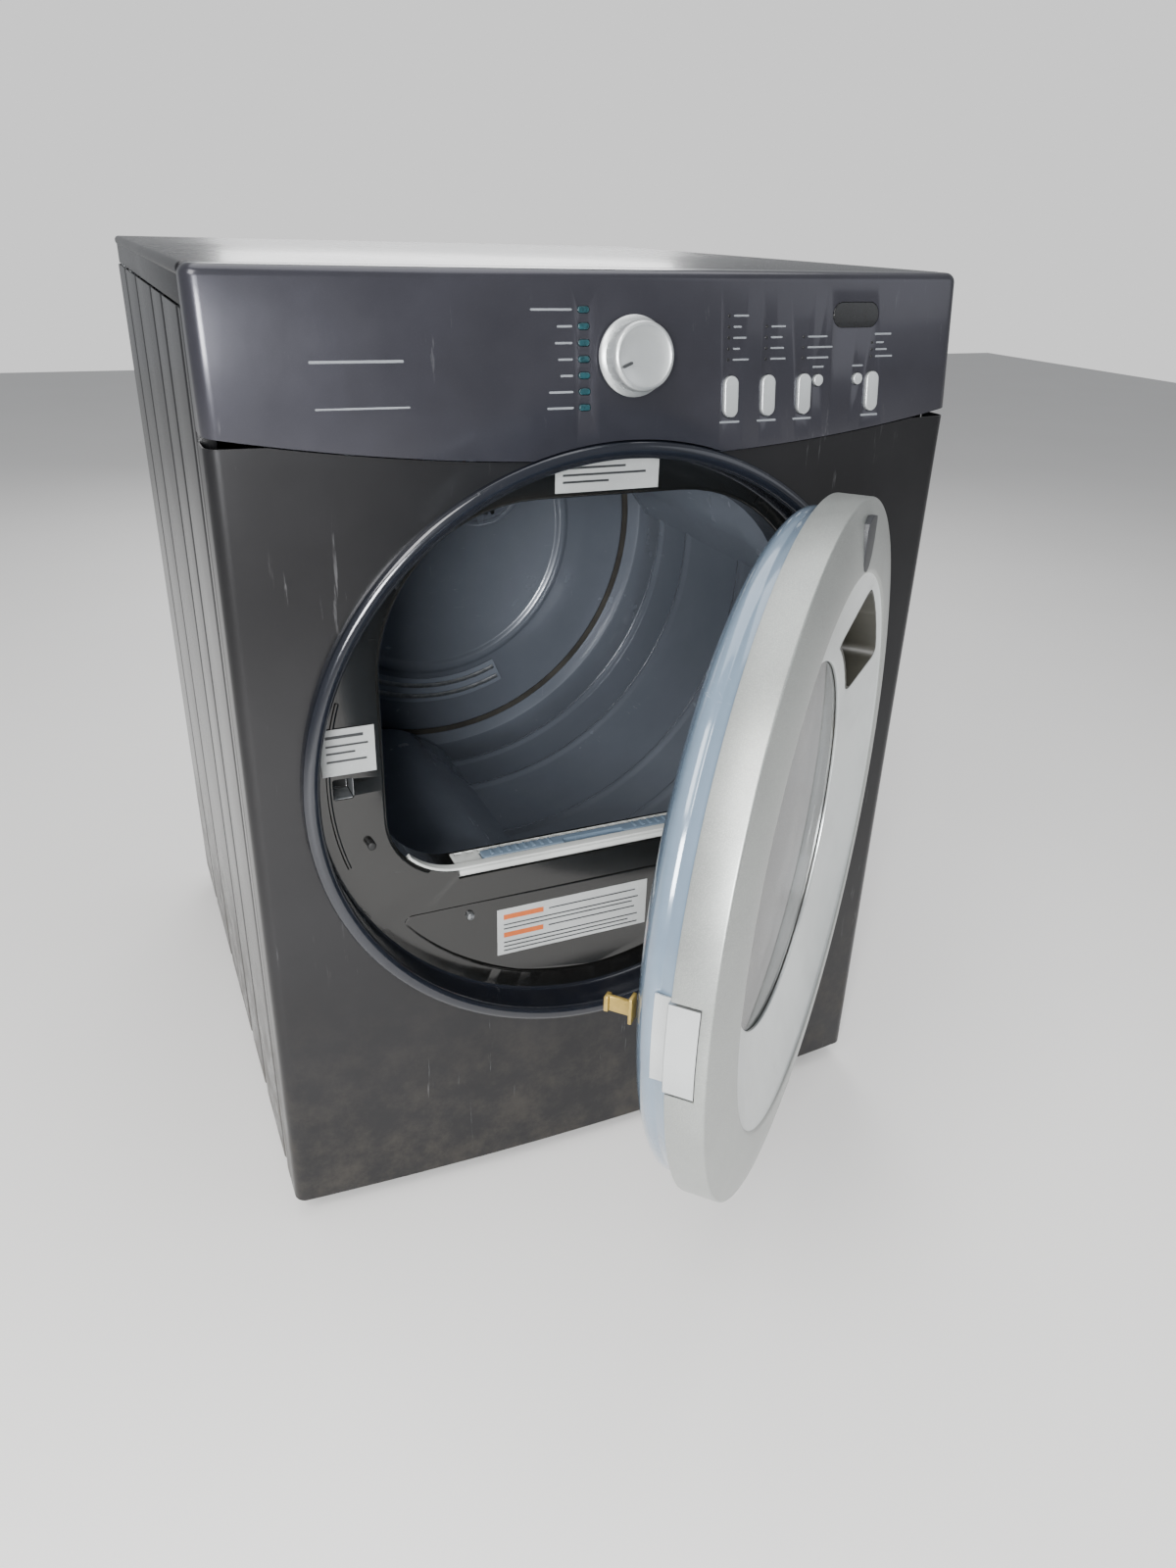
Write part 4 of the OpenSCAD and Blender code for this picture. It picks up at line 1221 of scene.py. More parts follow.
    def lenses(self) -> None:
        """The display window, cycle pills and lamp dots."""
        window = Bench.put(Bench.pill("display_pane", 20.4, 50.4, (-0.3, 2), 0.8, True), DATUM.on_console(*self.display))
        Bench.smooth(window, 35)
        self.hand_over(window, "cabinet", "lens_dark", "lens_plastic", ["console_lenses"])
        pills = [Bench.put(Bench.pill("pill", 5, 10, (-0.6, 2.4), 0.9, True), DATUM.on_console(*p)) for p in self.indicators()]
        dots = [Bench.put(Bench.pill("dot", 2.6, 2.6, (-0.5, 2), 0.5), DATUM.on_console(*p)) for p in self.lamps()]
        for name, members, look in (("cycle_pills", pills, "lens_teal"), ("lamp_dots", dots, "lens_dark")):
            piece = Bench.join(name, members)
            Bench.smooth(piece, 35)
            self.hand_over(piece, "cabinet", look, "lens_plastic")

    def prints(self) -> None:
        """Plain bars where words stand."""
        bars: list[tuple[float, float, float, float]] = []
        cycle_widths = (35, 13, 15, 12.5, 11, 21, 23)
        bars += [(-53 - w / 2, z, w, 1.7) for w, (_x, z) in zip(cycle_widths, self.indicators())]
        lamp_widths = (15, 8, 13, 7, 16, 15, 12, 14, 16, 21, 27, 23, 9, 13, 20)
        bars += [(x + 4.5 + w / 2, z, w, 1.5) for w, (x, z) in zip(lamp_widths, self.lamps())]
        bars += [(256, 864, 19, 1.6), (-226, 849, 71, 2.0), (-224, 816, 72, 1.4)]
        bars += [(x, 795.5, 20, 1.8) for x in self.pill_xs]
        bars += [(x, 838, 12, 1.6) for x in self.round_xs]
        marks = []
        for x, z, w, h in bars:
            mark = Bench.pill("bar", h, w, (-0.12, 0.4), 0, True)
            marks.append(Bench.put(mark, DATUM.on_console(x, z)))
        piece = Bench.join("console_marks", marks)
        Bench.smooth(piece, 35)
        self.hand_over(piece, "cabinet", "print_grey", "cabinet_paint")

    def build(self) -> None:
        """Builds the console."""
        self.shell()
        self.keys()
        self.dial()
        self.lenses()
        self.prints()


@dataclass
class Mouth(Assembly):
    """The black face inside the lip, its tunnel, labels, latch, sill and lint filter."""

    face: float = 20.0
    back: float = 58.0
    half_w: float = 218.0
    top: float = 731.0
    bottom: float = 375.0
    top_r: float = 148.0
    bottom_r: float = 70.0

    def outline(self, grow: float, y: float) -> list[Place]:
        """The loading mouth's outline.

        Args:
            grow: how much wider than the mouth it is.
            y: the level it is drawn at.

        Returns:
            The closed outline.
        """
        points: list[Place] = []
        corners = (
            (self.half_w - self.top_r, self.top - self.top_r, self.top_r, 0),
            (-self.half_w + self.top_r, self.top - self.top_r, self.top_r, 90),
            (-self.half_w + self.bottom_r, self.bottom + self.bottom_r, self.bottom_r, 180),
            (self.half_w - self.bottom_r, self.bottom + self.bottom_r, self.bottom_r, 270),
        )
        for x, z, r, first in corners:
            for i in range(15):
                a = math.radians(first + i * 90 / 14)
                points.append((x + (r + grow) * math.cos(a), y, z + (r + grow) * math.sin(a)))
        return points

    def bulkhead(self) -> None:
        """The face with its rounded mouth, relief and latch window."""
        piece = Bench.turned("bulkhead_face", [(0, self.face), (297, self.face), (297, self.back), (0, self.back)], 0, DATUM.door_z, 192)
        Bench.cut(piece, Bench.prism("mouth_tool", self.outline(0, 0), (0, 80, 0)))
        r, half, high = 261.0, 206.0, 333.0
        low = math.asin((half - 8) / r)
        arc = [(r * math.sin(low - 2 * low * i / 40), self.face - 2, DATUM.door_z - r * math.cos(low - 2 * low * i / 40)) for i in range(41)]
        turn = [(5, 14), (1.5, 10), (0, 6), (2, 2.5), (7, 0)]
        relief = arc + [(-half + dx, self.face - 2, high - dz) for dx, dz in turn] + [(half - dx, self.face - 2, high - dz) for dx, dz in reversed(turn)]
        Bench.cut(piece, Bench.prism("relief_tool", relief, (0, 4.2, 0)))
        Bench.cut(piece, Bench.block("latch_tool", (-266.5, 10, DATUM.door_z - 10.5), (-247.5, 44, DATUM.door_z + 10.5), 2.5, 4))
        Bench.cut(piece, Bench.block("sill_tool", (-151, 10, 366.3), (151, 56.4, 380)))
        edge = DATUM.world(0, self.face, 0).y
        low_z, high_z = (self.bottom - 3) * MM, (self.top + 3) * MM
        Bench.pick(piece, "EDGE", lambda c, _d: abs(c.y - edge) < 1e-5 and low_z < c.z < high_z
                   and abs(c.x) < (self.half_w + 2) * MM and c.z > 0.3811)
        bpy.ops.mesh.bevel(offset=4 * MM, segments=5, profile=0.5)
        Bench.clear()
        collar = Bench.turned("collar", [(262.5, self.back - 2), (264, self.back - 2), (264, 80), (262.5, 80)], 0, DATUM.drum_z, 160)
        piece = Bench.join("bulkhead_face", (piece, collar))
        Bench.smooth(piece, 35, edge=0.7)
        self.hand_over(piece, "cabinet", "bulkhead_black", "bulkhead_paint", ["front_bulkhead"])
        middle = 285.0
        rim = [(x * (1 + 1.8 / half), self.face - 0.8, middle + (z - middle) * (1 + 1.8 / 48)) for x, _y, z in relief]
        bead = Bench.prism("relief_bead", rim, (0, 1.4, 0), 0.4, 2)
        Bench.cut(bead, Bench.prism("bead_tool", relief, (0, 4.2, 0)))
        Bench.smooth(bead, 40)
        self.hand_over(bead, "cabinet", "bulkhead_black", "bulkhead_paint")

    def trims(self) -> None:
        """Ridges, screws and plain labels on the face."""
        y = self.face
        for index, (lo, hi) in enumerate(((162, 198), (-18, 18))):
            ridge = Bench.turned(f"face_ridge_{index}", [(268, y + 0.5), (268, y - 0.6), (269.2, y - 1.2), (271, y - 1.2), (272, y - 0.6), (272, y + 0.5)],
                                 0, DATUM.door_z, 180, (lo, hi))
            Bench.smooth(ridge, 50)
            self.hand_over(ridge, "cabinet", "bulkhead_black", "bulkhead_paint")
        heads = []
        for x, z in ((-140, 320), (140, 320)):
            head = Bench.turned("screw", [(0, y - 2.6), (2.2, y - 2.5), (3.6, y - 1.8), (4.2, y - 0.6), (4.2, y + 3), (0, y + 3)], x, z, 32)
            Bench.cut(head, Bench.block("slot", (x - 0.5, y - 4, z - 2.4), (x + 0.5, y - 1.5, z + 2.4)))
            heads.append(head)
        screws = Bench.join("face_screws", heads)
        Bench.smooth(screws, 35)
        self.hand_over(screws, "cabinet", "steel_part", "galvanised_steel")
        self.label("rating_plate", (-55, 736), (45, 766), y, "label_pale", [(-48, 756, 60, 2), (-48, 750, 80, 2), (-48, 744, 44, 2)], "label_dark")
        self.label("side_sticker", (-275, 500), (-226, 545), y - 1.3, "label_pale", [(-270, 536, 34, 3), (-270, 528, 38, 2), (-270, 521, 26, 2), (-270, 513, 36, 2)], "label_dark")
        self.label("lower_label", (-111, 262), (60, 318), y + 2.2, "label_pale",
                   [(-104, 298 - 5 * i, 154 - 7 * (i % 3), 1.6) for i in range(2)] + [(-104, 276 - 5 * i, 154 - 11 * (i % 2), 1.6) for i in range(3)]
                   + [(-54, z, 100, 1.6) for z in (307, 286)], "label_dark", [(-104, 305, 44, 6), (-104, 283, 44, 6)])

    def label(self, name: str, low: Point, high: Point, y: float, finish: str,
              bars: Sequence[tuple[float, float, float, float]], bar_finish: str,
              heads: Sequence[tuple[float, float, float, float]] = ()) -> None:
        """A plain label with bars in place of words.

        Args:
            name: the label's name.
            low: its lower left corner.
            high: its upper right corner.
            y: the face's level.
            finish: the label's finish.
            bars: each bar's left, bottom, width and height.
            bar_finish: the bars' finish.
            heads: bars in orange.
        """
        sheet = Bench.block(name, (low[0], y - 0.25, low[1]), (high[0], y + 0.2, high[1]), 0.1, 1)
        self.hand_over(sheet, "cabinet", finish, "bulkhead_paint")
        for suffix, rows, look in (("bars", bars, bar_finish), ("heads", heads, "label_orange")):
            if rows:
                marks = [Bench.block("bar", (x, y - 0.4, z), (x + w, y - 0.1, z + h), 0.1, 1) for x, z, w, h in rows]
                self.hand_over(Bench.join(f"{name}_{suffix}", marks), "cabinet", look, "bulkhead_paint")

    def sill(self) -> None:
        """The pale strip along the foot of the mouth, with the filter's slot and grille ribs."""
        piece = Bench.block("sill_strip", (-150, self.face - 1, 369.4), (150, 56.2, 375), 1.5, 3)
        Bench.cut(piece, Bench.block("slot_tool", (-122, 30, 360), (122, 48, 380), 2, 3))
        corner = [(self.half_w - self.bottom_r, math.radians(270 + 4 * i)) for i in range(13)]
        curve = [(-x, 360 * math.pi / 180 - a + math.pi) for x, a in reversed(corner)] + corner
        band = [(x + (self.bottom_r - 0.2) * math.cos(a), self.face + 1, self.bottom + self.bottom_r + (self.bottom_r - 0.2) * math.sin(a)) for x, a in curve]
        band += [(x + (self.bottom_r - 3) * math.cos(a), self.face + 1, self.bottom + self.bottom_r + (self.bottom_r - 3) * math.sin(a)) for x, a in reversed(curve)]
        trim = Bench.prism("sill_trim", band, (0, 9, 0), 0.8, 3)
        Bench.smooth(trim, 35)
        self.hand_over(trim, "cabinet", "sill_pale", "silver_plastic")
        ribs = [Bench.block("rib_tool", (-146 + 12.2 * i, 50.2, 360), (-138 + 12.2 * i, 54.4, 380)) for i in range(24)]
        Bench.cut(piece, Bench.join("ribs", ribs))
        Bench.smooth(piece, 35, edge=0.4)
        self.hand_over(piece, "cabinet", "sill_pale", "silver_plastic", ["sill_grille"])

    def filter(self) -> None:
        """The lint filter: handle bar with a grip, frame and screen."""
        handle = Bench.block("filter_frame", (-121, 31, 366), (121, 47, 378), 2.2, 4)
        Bench.cut(handle, Bench.block("grip_tool", (-34, 24, 371), (34, 39, 384), 3, 4))
        ribs = [Bench.block("rib", (-112 + 9 * i, 35, 377), (-108.5 + 9 * i, 45, 379.2), 0.6, 2) for i in range(8)]
        ribs += [Bench.block("rib", (48 + 9 * i, 35, 377), (51.5 + 9 * i, 45, 379.2), 0.6, 2) for i in range(8)]
        frame_piece = Bench.block("blade", (-120, 35, 240), (120, 43, 367), 1.5, 3)
        Bench.cut(frame_piece, Bench.block("window_tool", (-112, 30, 248), (112, 50, 358), 3, 3))
        bars = [Bench.block("bar", (-38.5 + 75 * i, 36, 246), (-36.5 + 75 * i, 42, 360), 0.4, 1) for i in range(2)]
        piece = Bench.join("filter_frame", [handle, frame_piece, *ribs, *bars])
        Bench.smooth(piece, 35)
        self.hand_over(piece, "lint_filter", "liner_blue_grey", "liner_plastic", ["lint_filter_frame"])
        screen = Bench.block("filter_screen", (-112.4, 38.6, 247.6), (112.4, 39.4, 358.4), 0.1, 1)
        self.hand_over(screen, "lint_filter", "screen", "mesh_fabric", ["lint_filter_mesh"])

    def build(self) -> None:
        """Builds the mouth."""
        self.bulkhead()
        self.trims()
        self.sill()
        self.filter()


@dataclass
class Drum(Assembly):
    """The drum with its ribs and lifters, and the fixed wall behind it."""

    radius: float = 325.0
    mouth_r: float = 268.0
    front: float = 64.0
    rear: float = 600.0
    ribs: tuple[float, ...] = (150.0, 230.0, 310.0, 450.0, 530.0)
    vanes: tuple[float, ...] = (-104.0, 16.0, 136.0)
    dish_r: float = 296.0
    dish_y: float = 598.0
    plate_y: float = 614.0

    def wall(self, inset: float) -> list[Point]:
        """The drum's outline from front to rear.

        Args:
            inset: how far it is set in.

        Returns:
            Radius and y of each point.
        """
        r = self.radius - inset
        points = [(self.mouth_r, self.front + inset), (r - 30, self.front + inset)]
        points += [(r - 30 + 30 * math.sin(a), self.front + inset + 24 * (1 - math.cos(a))) for a in (math.pi / 12 * i for i in range(1, 7))]
        for middle in self.ribs:
            points += [(r - 1.5 - 1.5 * math.cos(step / 11 * math.pi), middle + step) for step in range(-11, 12, 2)]
        return points + [(r, self.rear - 8 - inset), (r - 2.5, self.rear - 2 - inset), (r - 7, self.rear - inset), (303, self.rear - inset)]

    def shell(self) -> None:
        """The ribbed drum shell."""
        piece = Bench.turned("drum_wall", self.wall(0) + list(reversed(self.wall(1.2))), 0, DATUM.drum_z, 192)
        Bench.smooth(piece, 40)
        self.hand_over(piece, "drum", "drum_blue_grey", "drum_paint", ["drum_shell"])

    def lifters(self) -> None:
        """Three smooth lifters, broad at the wall and narrow at the ridge."""
        foot, ridge = self.radius - 6, 288.0
        made = []
        for index, angle in enumerate(self.vanes):
            vane = Bench.block(f"lifter_{index}", (ridge, 128, -97), (foot, 594, 97))
            inner = DATUM.world(ridge, 0, 0).x
            Bench.pick(vane, "VERT", lambda co, _n: abs(co.x - inner) < 1e-5)
            bpy.ops.transform.resize(value=(1, 1, 0.2), center_override=DATUM.world(ridge, 0, 0))
            Bench.pick(vane, "VERT", lambda co, _n: abs(co.x - inner) < 1e-5 and co.y < DATUM.world(0, 300, 0).y)
            bpy.ops.transform.translate(value=Vector((0, 118, 0)) * MM)
            Bench.pick(vane, "EDGE", lambda c, _d: c.x < (foot - 1) * MM)
            bpy.ops.mesh.bevel(offset=13 * MM, segments=7, profile=0.5)
            Bench.clear()
            turn = Matrix.Translation(DATUM.world(0, 0, DATUM.drum_z)) @ Matrix.Rotation(math.radians(-angle), 4, "Y") @ Matrix.Translation(-DATUM.world(0, 0, 0))
            Bench.put(vane, turn)
            limit = Bench.turned("lifter_limit", [(0, 110), (323.4, 110), (323.4, 597), (0, 597)], 0, DATUM.drum_z, 192)
            Bench.cut(vane, limit, "INTERSECT")
            Bench.smooth(vane, 50)
            made.append(vane)
        piece = Bench.join("drum_lifters", made)
        self.hand_over(piece, "drum", "vane_blue_grey", "liner_plastic", ["drum_baffles"])

    def rear_wall(self) -> None:
        """The dished fixed wall with its embossed ring and round air grille."""
        y, t = self.dish_y, 1.2
        face = [(self.dish_r, self.plate_y + t), (self.dish_r, y + 5), (self.dish_r - 1.6, y + 2), (self.dish_r - 5, y),
                (206, y - 4), (203, y - 5.4), (200.5, y - 8), (197, y - 9.2), (193, y - 9.2), (189.5, y - 8), (187, y - 5.4), (184, y - 4), (0, y - 4)]
        back = [(0, y - 4 + t), (184, y - 4 + t), (190, y - 7), (200, y - 7), (206, y - 4 + t), (self.dish_r - 6, y + t), (self.dish_r - t, y + 6), (self.dish_r - t, self.plate_y + t)]
        piece = Bench.turned("rear_dish", face + back, 0, DATUM.drum_z, 192)
        holes = []
        first = Bench.pill("hole", 6.4, 6.4, (y - 14, y + 8))
        pitch = 10.0
        for j in range(-6, 7):
            for i in range(-6, 7):
                dx, dz = pitch * (i + 0.5 * (j % 2)), pitch * 0.866 * j
                if math.hypot(dx, dz) < 58:
                    holes.append(Bench.copy(first, Vector((70 + dx, 0, 632 + dz)) * MM))
        bpy.data.objects.remove(first)
        Bench.cut(piece, Bench.join("holes", holes))
        rim = Bench.turned("grille_rim", [(63, y - 3.6), (63, y - 6), (65, y - 7), (68, y - 7), (70, y - 6), (70, y - 3.6)], 70, 632, 96)
        plate = Bench.prism("rear_plate", [(-338, self.plate_y, 205), (338, self.plate_y, 205), (338, self.plate_y, 880), (-338, self.plate_y, 880)], (0, t, 0))
        Bench.cut(plate, Bench.turned("dish_tool", [(0, 600), (self.dish_r - 0.4, 600), (self.dish_r - 0.4, 630), (0, 630)], 0, DATUM.drum_z, 192))
        axles = [Bench.turned("axle", [(0, 564), (5.4, 564), (6, 564.6), (6, self.plate_y + 0.5), (0, self.plate_y + 0.5)], s * 192.5, 248.9, 48) for s in (-1, 1)]
        piece = Bench.join("rear_dish", [piece, rim, plate, *axles])
        Bench.smooth(piece, 38)
        self.hand_over(piece, "cabinet", "drum_blue_grey", "drum_paint", ["rear_bulkhead"])

    def sensor(self) -> None:
        """The moisture sensor's two curved bars on their carrier."""
        y = self.dish_y - 4.3
        carrier = Bench.turned("sensor_carrier", [(212, y), (248, y), (248, y - 1.4), (247, y - 2), (213, y - 2), (212, y - 1.4)], 0, DATUM.drum_z, 200, (-114, -66))
        Bench.smooth(carrier, 50)
        self.hand_over(carrier, "cabinet", "vane_blue_grey", "galvanised_steel", ["moisture_sensor"])
        bars = [Bench.turned("sensor_bar", [(r - 3, y - 1.8), (r - 3, y - 3.8), (r - 2, y - 4.5), (r + 2, y - 4.5), (r + 3, y - 3.8), (r + 3, y - 1.8)],
                             0, DATUM.drum_z, 200, (-113, -67)) for r in (222, 238)]
        piece = Bench.join("sensor_bars", bars)
        Bench.smooth(piece, 50)
        self.hand_over(piece, "cabinet", "steel_part", "galvanised_steel")

    def build(self) -> None:
        """Builds the drum."""
        self.shell()
        self.lifters()
        self.rear_wall()
        self.sensor()


@dataclass
class Door(Assembly):
    """The round door, modelled closed and swung open: ring, glass, liner, cups and trims."""

    radius: float = 288.0
    rim_back: float = -25.0
    rim_front: float = -53.0
    crown: float = -59.0
    bowl_r: float = 233.0
    window_r: float = 157.0
    floor: float = -36.0
    liner_r: float = 277.0
    liner_back: float = 16.0
    cups_at: tuple[float, ...] = (46.0, 134.0)

    def swing(self, piece: bpy.types.Object) -> bpy.types.Object:
        """Turns a closed piece to the open door's place."""
        return Bench.put(piece, DATUM.door_turn())

    def bowl(self, r: float) -> float:
        """The level of the bowl's slope at a radius."""
        a, b = self.window_r + 9, self.bowl_r - 5
        return self.floor - 1 + (r - a) / (b - a) * (self.crown + 4 - self.floor + 1)

    def ring(self) -> None:
        """The silver ring with its rounded rim, crowned land and bowl."""
        r, c = self.radius, self.crown
        outside = [(r, self.rim_back), (r, self.rim_front + 2)]
        outside += [(r - 2 + 2 * math.cos(a), self.rim_front + 2 - 2 * math.sin(a)) for a in (math.pi / 12 * i for i in range(1, 7))]
        outside += [(r - 2 - 51 * i / 10, self.rim_front + (c - self.rim_front) * math.sin(math.pi / 2 * i / 10)) for i in range(1, 11)]
        outside += [(self.bowl_r + 0.6, c + 0.1), (self.bowl_r - 0.8, c + 0.7), (self.bowl_r - 2, c + 1.9), (self.bowl_r - 5, c + 4)]
        outside += [(self.window_r + 12, self.bowl(self.window_r + 12)), (self.window_r + 8, self.floor - 1.2), (self.window_r + 3, self.floor - 0.2), (self.window_r, self.floor + 0.6)]
        inside = [(self.window_r, self.floor + 3), (self.window_r + 9.6, self.floor + 2), (self.bowl_r - 5, c + 7), (self.bowl_r + 3, c + 3.4),
                  (r - 6.4, self.rim_front + 3), (r - 3, self.rim_front + 8), (r - 3, self.rim_back)]
        piece = Bench.turned("door_ring_shell", outside + inside, 0, DATUM.door_z, 224)
        for middle in self.cups_at:
            Bench.cut(piece, self.sector("cup_tool", (171, 225), middle, 32.0, (-75, -15)))
        for sign in (1, -1):
            low, high = sorted((sign * 270, sign * 300))
            Bench.cut(piece, Bench.block("slot_tool", (low, -45, DATUM.door_z - 37), (high, self.rim_back + 4, DATUM.door_z + 37)))
        Bench.smooth(piece, 38, edge=0.4)
        self.finishes.dress(piece, "door_silver")
        centre = DATUM.world(0, 0, DATUM.door_z)
        limit = (self.bowl_r - 2) * MM
        self.finishes.patch(piece, "bowl_silver", lambda c, _n: math.hypot(c.x - centre.x, c.z - centre.z) < limit)
        self.hand_over(self.swing(piece), "door", "door_silver", "silver_metal", ["door_ring"])

    def sector(self, name: str, radii: Point, middle: float, wide: float, ys: Point) -> bpy.types.Object:
        """A rounded block of the ring's round.

        Args:
            name: the block's name.
            radii: inner and outer radius.
            middle: the angle of its middle.
            wide: the angle it spans.
            ys: front and back level.

        Returns:
            The block.
        """
        a, b = radii
        piece = Bench.turned(name, [(a, ys[0]), (b, ys[0]), (b, ys[1]), (a, ys[1])], 0, DATUM.door_z, 72, (middle - wide / 2, middle + wide / 2))
        Bench.pick(piece, "EDGE", self.at_ends(middle, wide / 2 - 0.1))
        bpy.ops.mesh.bevel(offset=9 * MM, segments=6, profile=0.5)
        Bench.clear()
        return piece

    @staticmethod
    def at_ends(middle: float, half: float) -> Callable[[Vector, Vector], bool]:
        """A test for the edges along Y at a sector's two ends.

        Args:
            middle: the angle of the sector's middle.
            half: the angle from there to its ends.

        Returns:
            The test.
        """
        centre = DATUM.world(0, 0, DATUM.door_z)

        def test(c: Vector, d: Vector) -> bool:
            turn = math.degrees(math.atan2(c.z - centre.z, c.x - centre.x)) - middle
            return abs(d.y) > 0.99 and abs(turn) > half

        return test

    def cups(self) -> None:
        """The finger cups, rounded pockets in the bowl's wall."""
        made = []
        for middle in self.cups_at:
            outer = self.sector("cup", (171.2, 224.8), middle, 31.8, (-60, -10))
            Bench.cut(outer, self.sector("cup_inner", (173, 223), middle, 30.8, (-80, -12)))
            cone = Bench.turned("bowl_tool", [(0, -90), (0, self.bowl(0)), (260, self.bowl(260)), (260, -90)], 0, DATUM.door_z, 160)
            Bench.cut(outer, cone)
            Bench.smooth(outer, 35, edge=0.3)
            made.append(outer)
        piece = Bench.join("finger_cups", made)
        self.hand_over(self.swing(piece), "door", "cup_olive", "cup_plastic", ["handle_cups"])

    def glass(self) -> None:
        """The smoky window, slightly crowned."""
        w, y = self.window_r, self.floor + 3.3
        front = [(0, y - 2.2)] + [(w * i / 12, y - 2.2 + 2.2 * (i / 12) ** 2) for i in range(1, 13)]
        back = [(w + 9, y), (w + 9, y + 3.4), (w, y + 3.4)] + [(w * i / 6, y + 3.4) for i in range(5, -1, -1)]
        piece = Bench.turned("window_pane", front + back, 0, DATUM.door_z, 160)
        Bench.smooth(piece, 40)
        self.hand_over(self.swing(piece), "door", "smoky_glass", "window_glass", ["door_window"])

    def liner(self) -> None:
        """The moulded inner half: flange, rounded shoulder with a double line, dome and window well."""
        r, back = self.liner_r, self.liner_back
        outer = [(r + 0.6, -20), (r, -16), (r - 0.8, -14.6), (r - 0.8, -13.4), (r, -12)]
        outer += [(185 + (r - 185) * math.cos(a), -10 + (back + 10) * math.sin(a)) for a in (math.pi / 32 * i for i in range(1, 17))]
        outer += [(180, back), (172, back - 1.2), (167, back - 3.4), (164.4, back - 7), (163, -4), (161.6, -28.8)]
        inner = [(164.5, -28.8), (165.8, -4), (168, back - 6), (174, back - 3.6), (186, back - 2.6)]
        inner += [(185 + (r - 2.5 - 185) * math.cos(a), -10 + (back + 7.5) * math.sin(a)) for a in (math.pi / 20 * i for i in range(9, -1, -1))]
        piece = Bench.turned("liner_shell", [(284.4, -27.5), (284.4, -25), (r + 3, -25), (r + 1.4, -24)] + outer + inner + [(r - 2, -27.5)], 0, DATUM.door_z, 224)
        Bench.cut(piece, Bench.block("notch_tool", (222, -40, DATUM.door_z - 36), (300, 40, DATUM.door_z + 36), 3, 4))
        Bench.smooth(piece, 38)
        self.hand_over(self.swing(piece), "door", "liner_blue_grey", "liner_plastic", ["door_liner"])

    def badge(self) -> None:
        """A plain raised shield-like plate near the land's top."""
        x, z = 26.0, DATUM.door_z + 232
        half = [(0, 0), (9, 3), (15, 10), (17.5, 22), (17.5, 36), (16, 40), (0, 43)]
        outline = [(x + px, self.crown - 0.6, z + pz) for px, pz in half] + [(x - px, self.crown - 0.6, z + pz) for px, pz in reversed(half[1:-1])]
        piece = Bench.prism("badge_plate", outline, (0, 5, 0), 0.8, 3)
        Bench.smooth(piece, 35)
        self.hand_over(self.swing(piece), "door", "badge_grey", "silver_metal")

    def cover(self) -> None:
        """The plate over the unused hinge opening."""
        r, back = self.radius, self.rim_back
        piece = Bench.turned("hinge_cover_plate", [
            (r - 0.1, -44.4), (r - 0.1, back + 1.2), (r - 0.9, back + 1.8), (self.liner_r + 3.6, back + 1.8), (self.liner_r + 3, back + 2.6),
            (self.liner_r + 3, -12), (self.liner_r + 1.3, -12), (self.liner_r + 1.6, back + 0.3), (r - 2.8, back + 0.3), (r - 2.8, -44.4)],
            0, DATUM.door_z, 360, (173, 187))
        Bench.smooth(piece, 40)
        self.hand_over(self.swing(piece), "door", "key_silver", "silver_plastic", ["hinge_hole_cover"])

    def build(self) -> None:
        """Builds the door."""
        self.ring()
        self.cups()
        self.glass()
        self.liner()
        self.badge()
        self.cover()


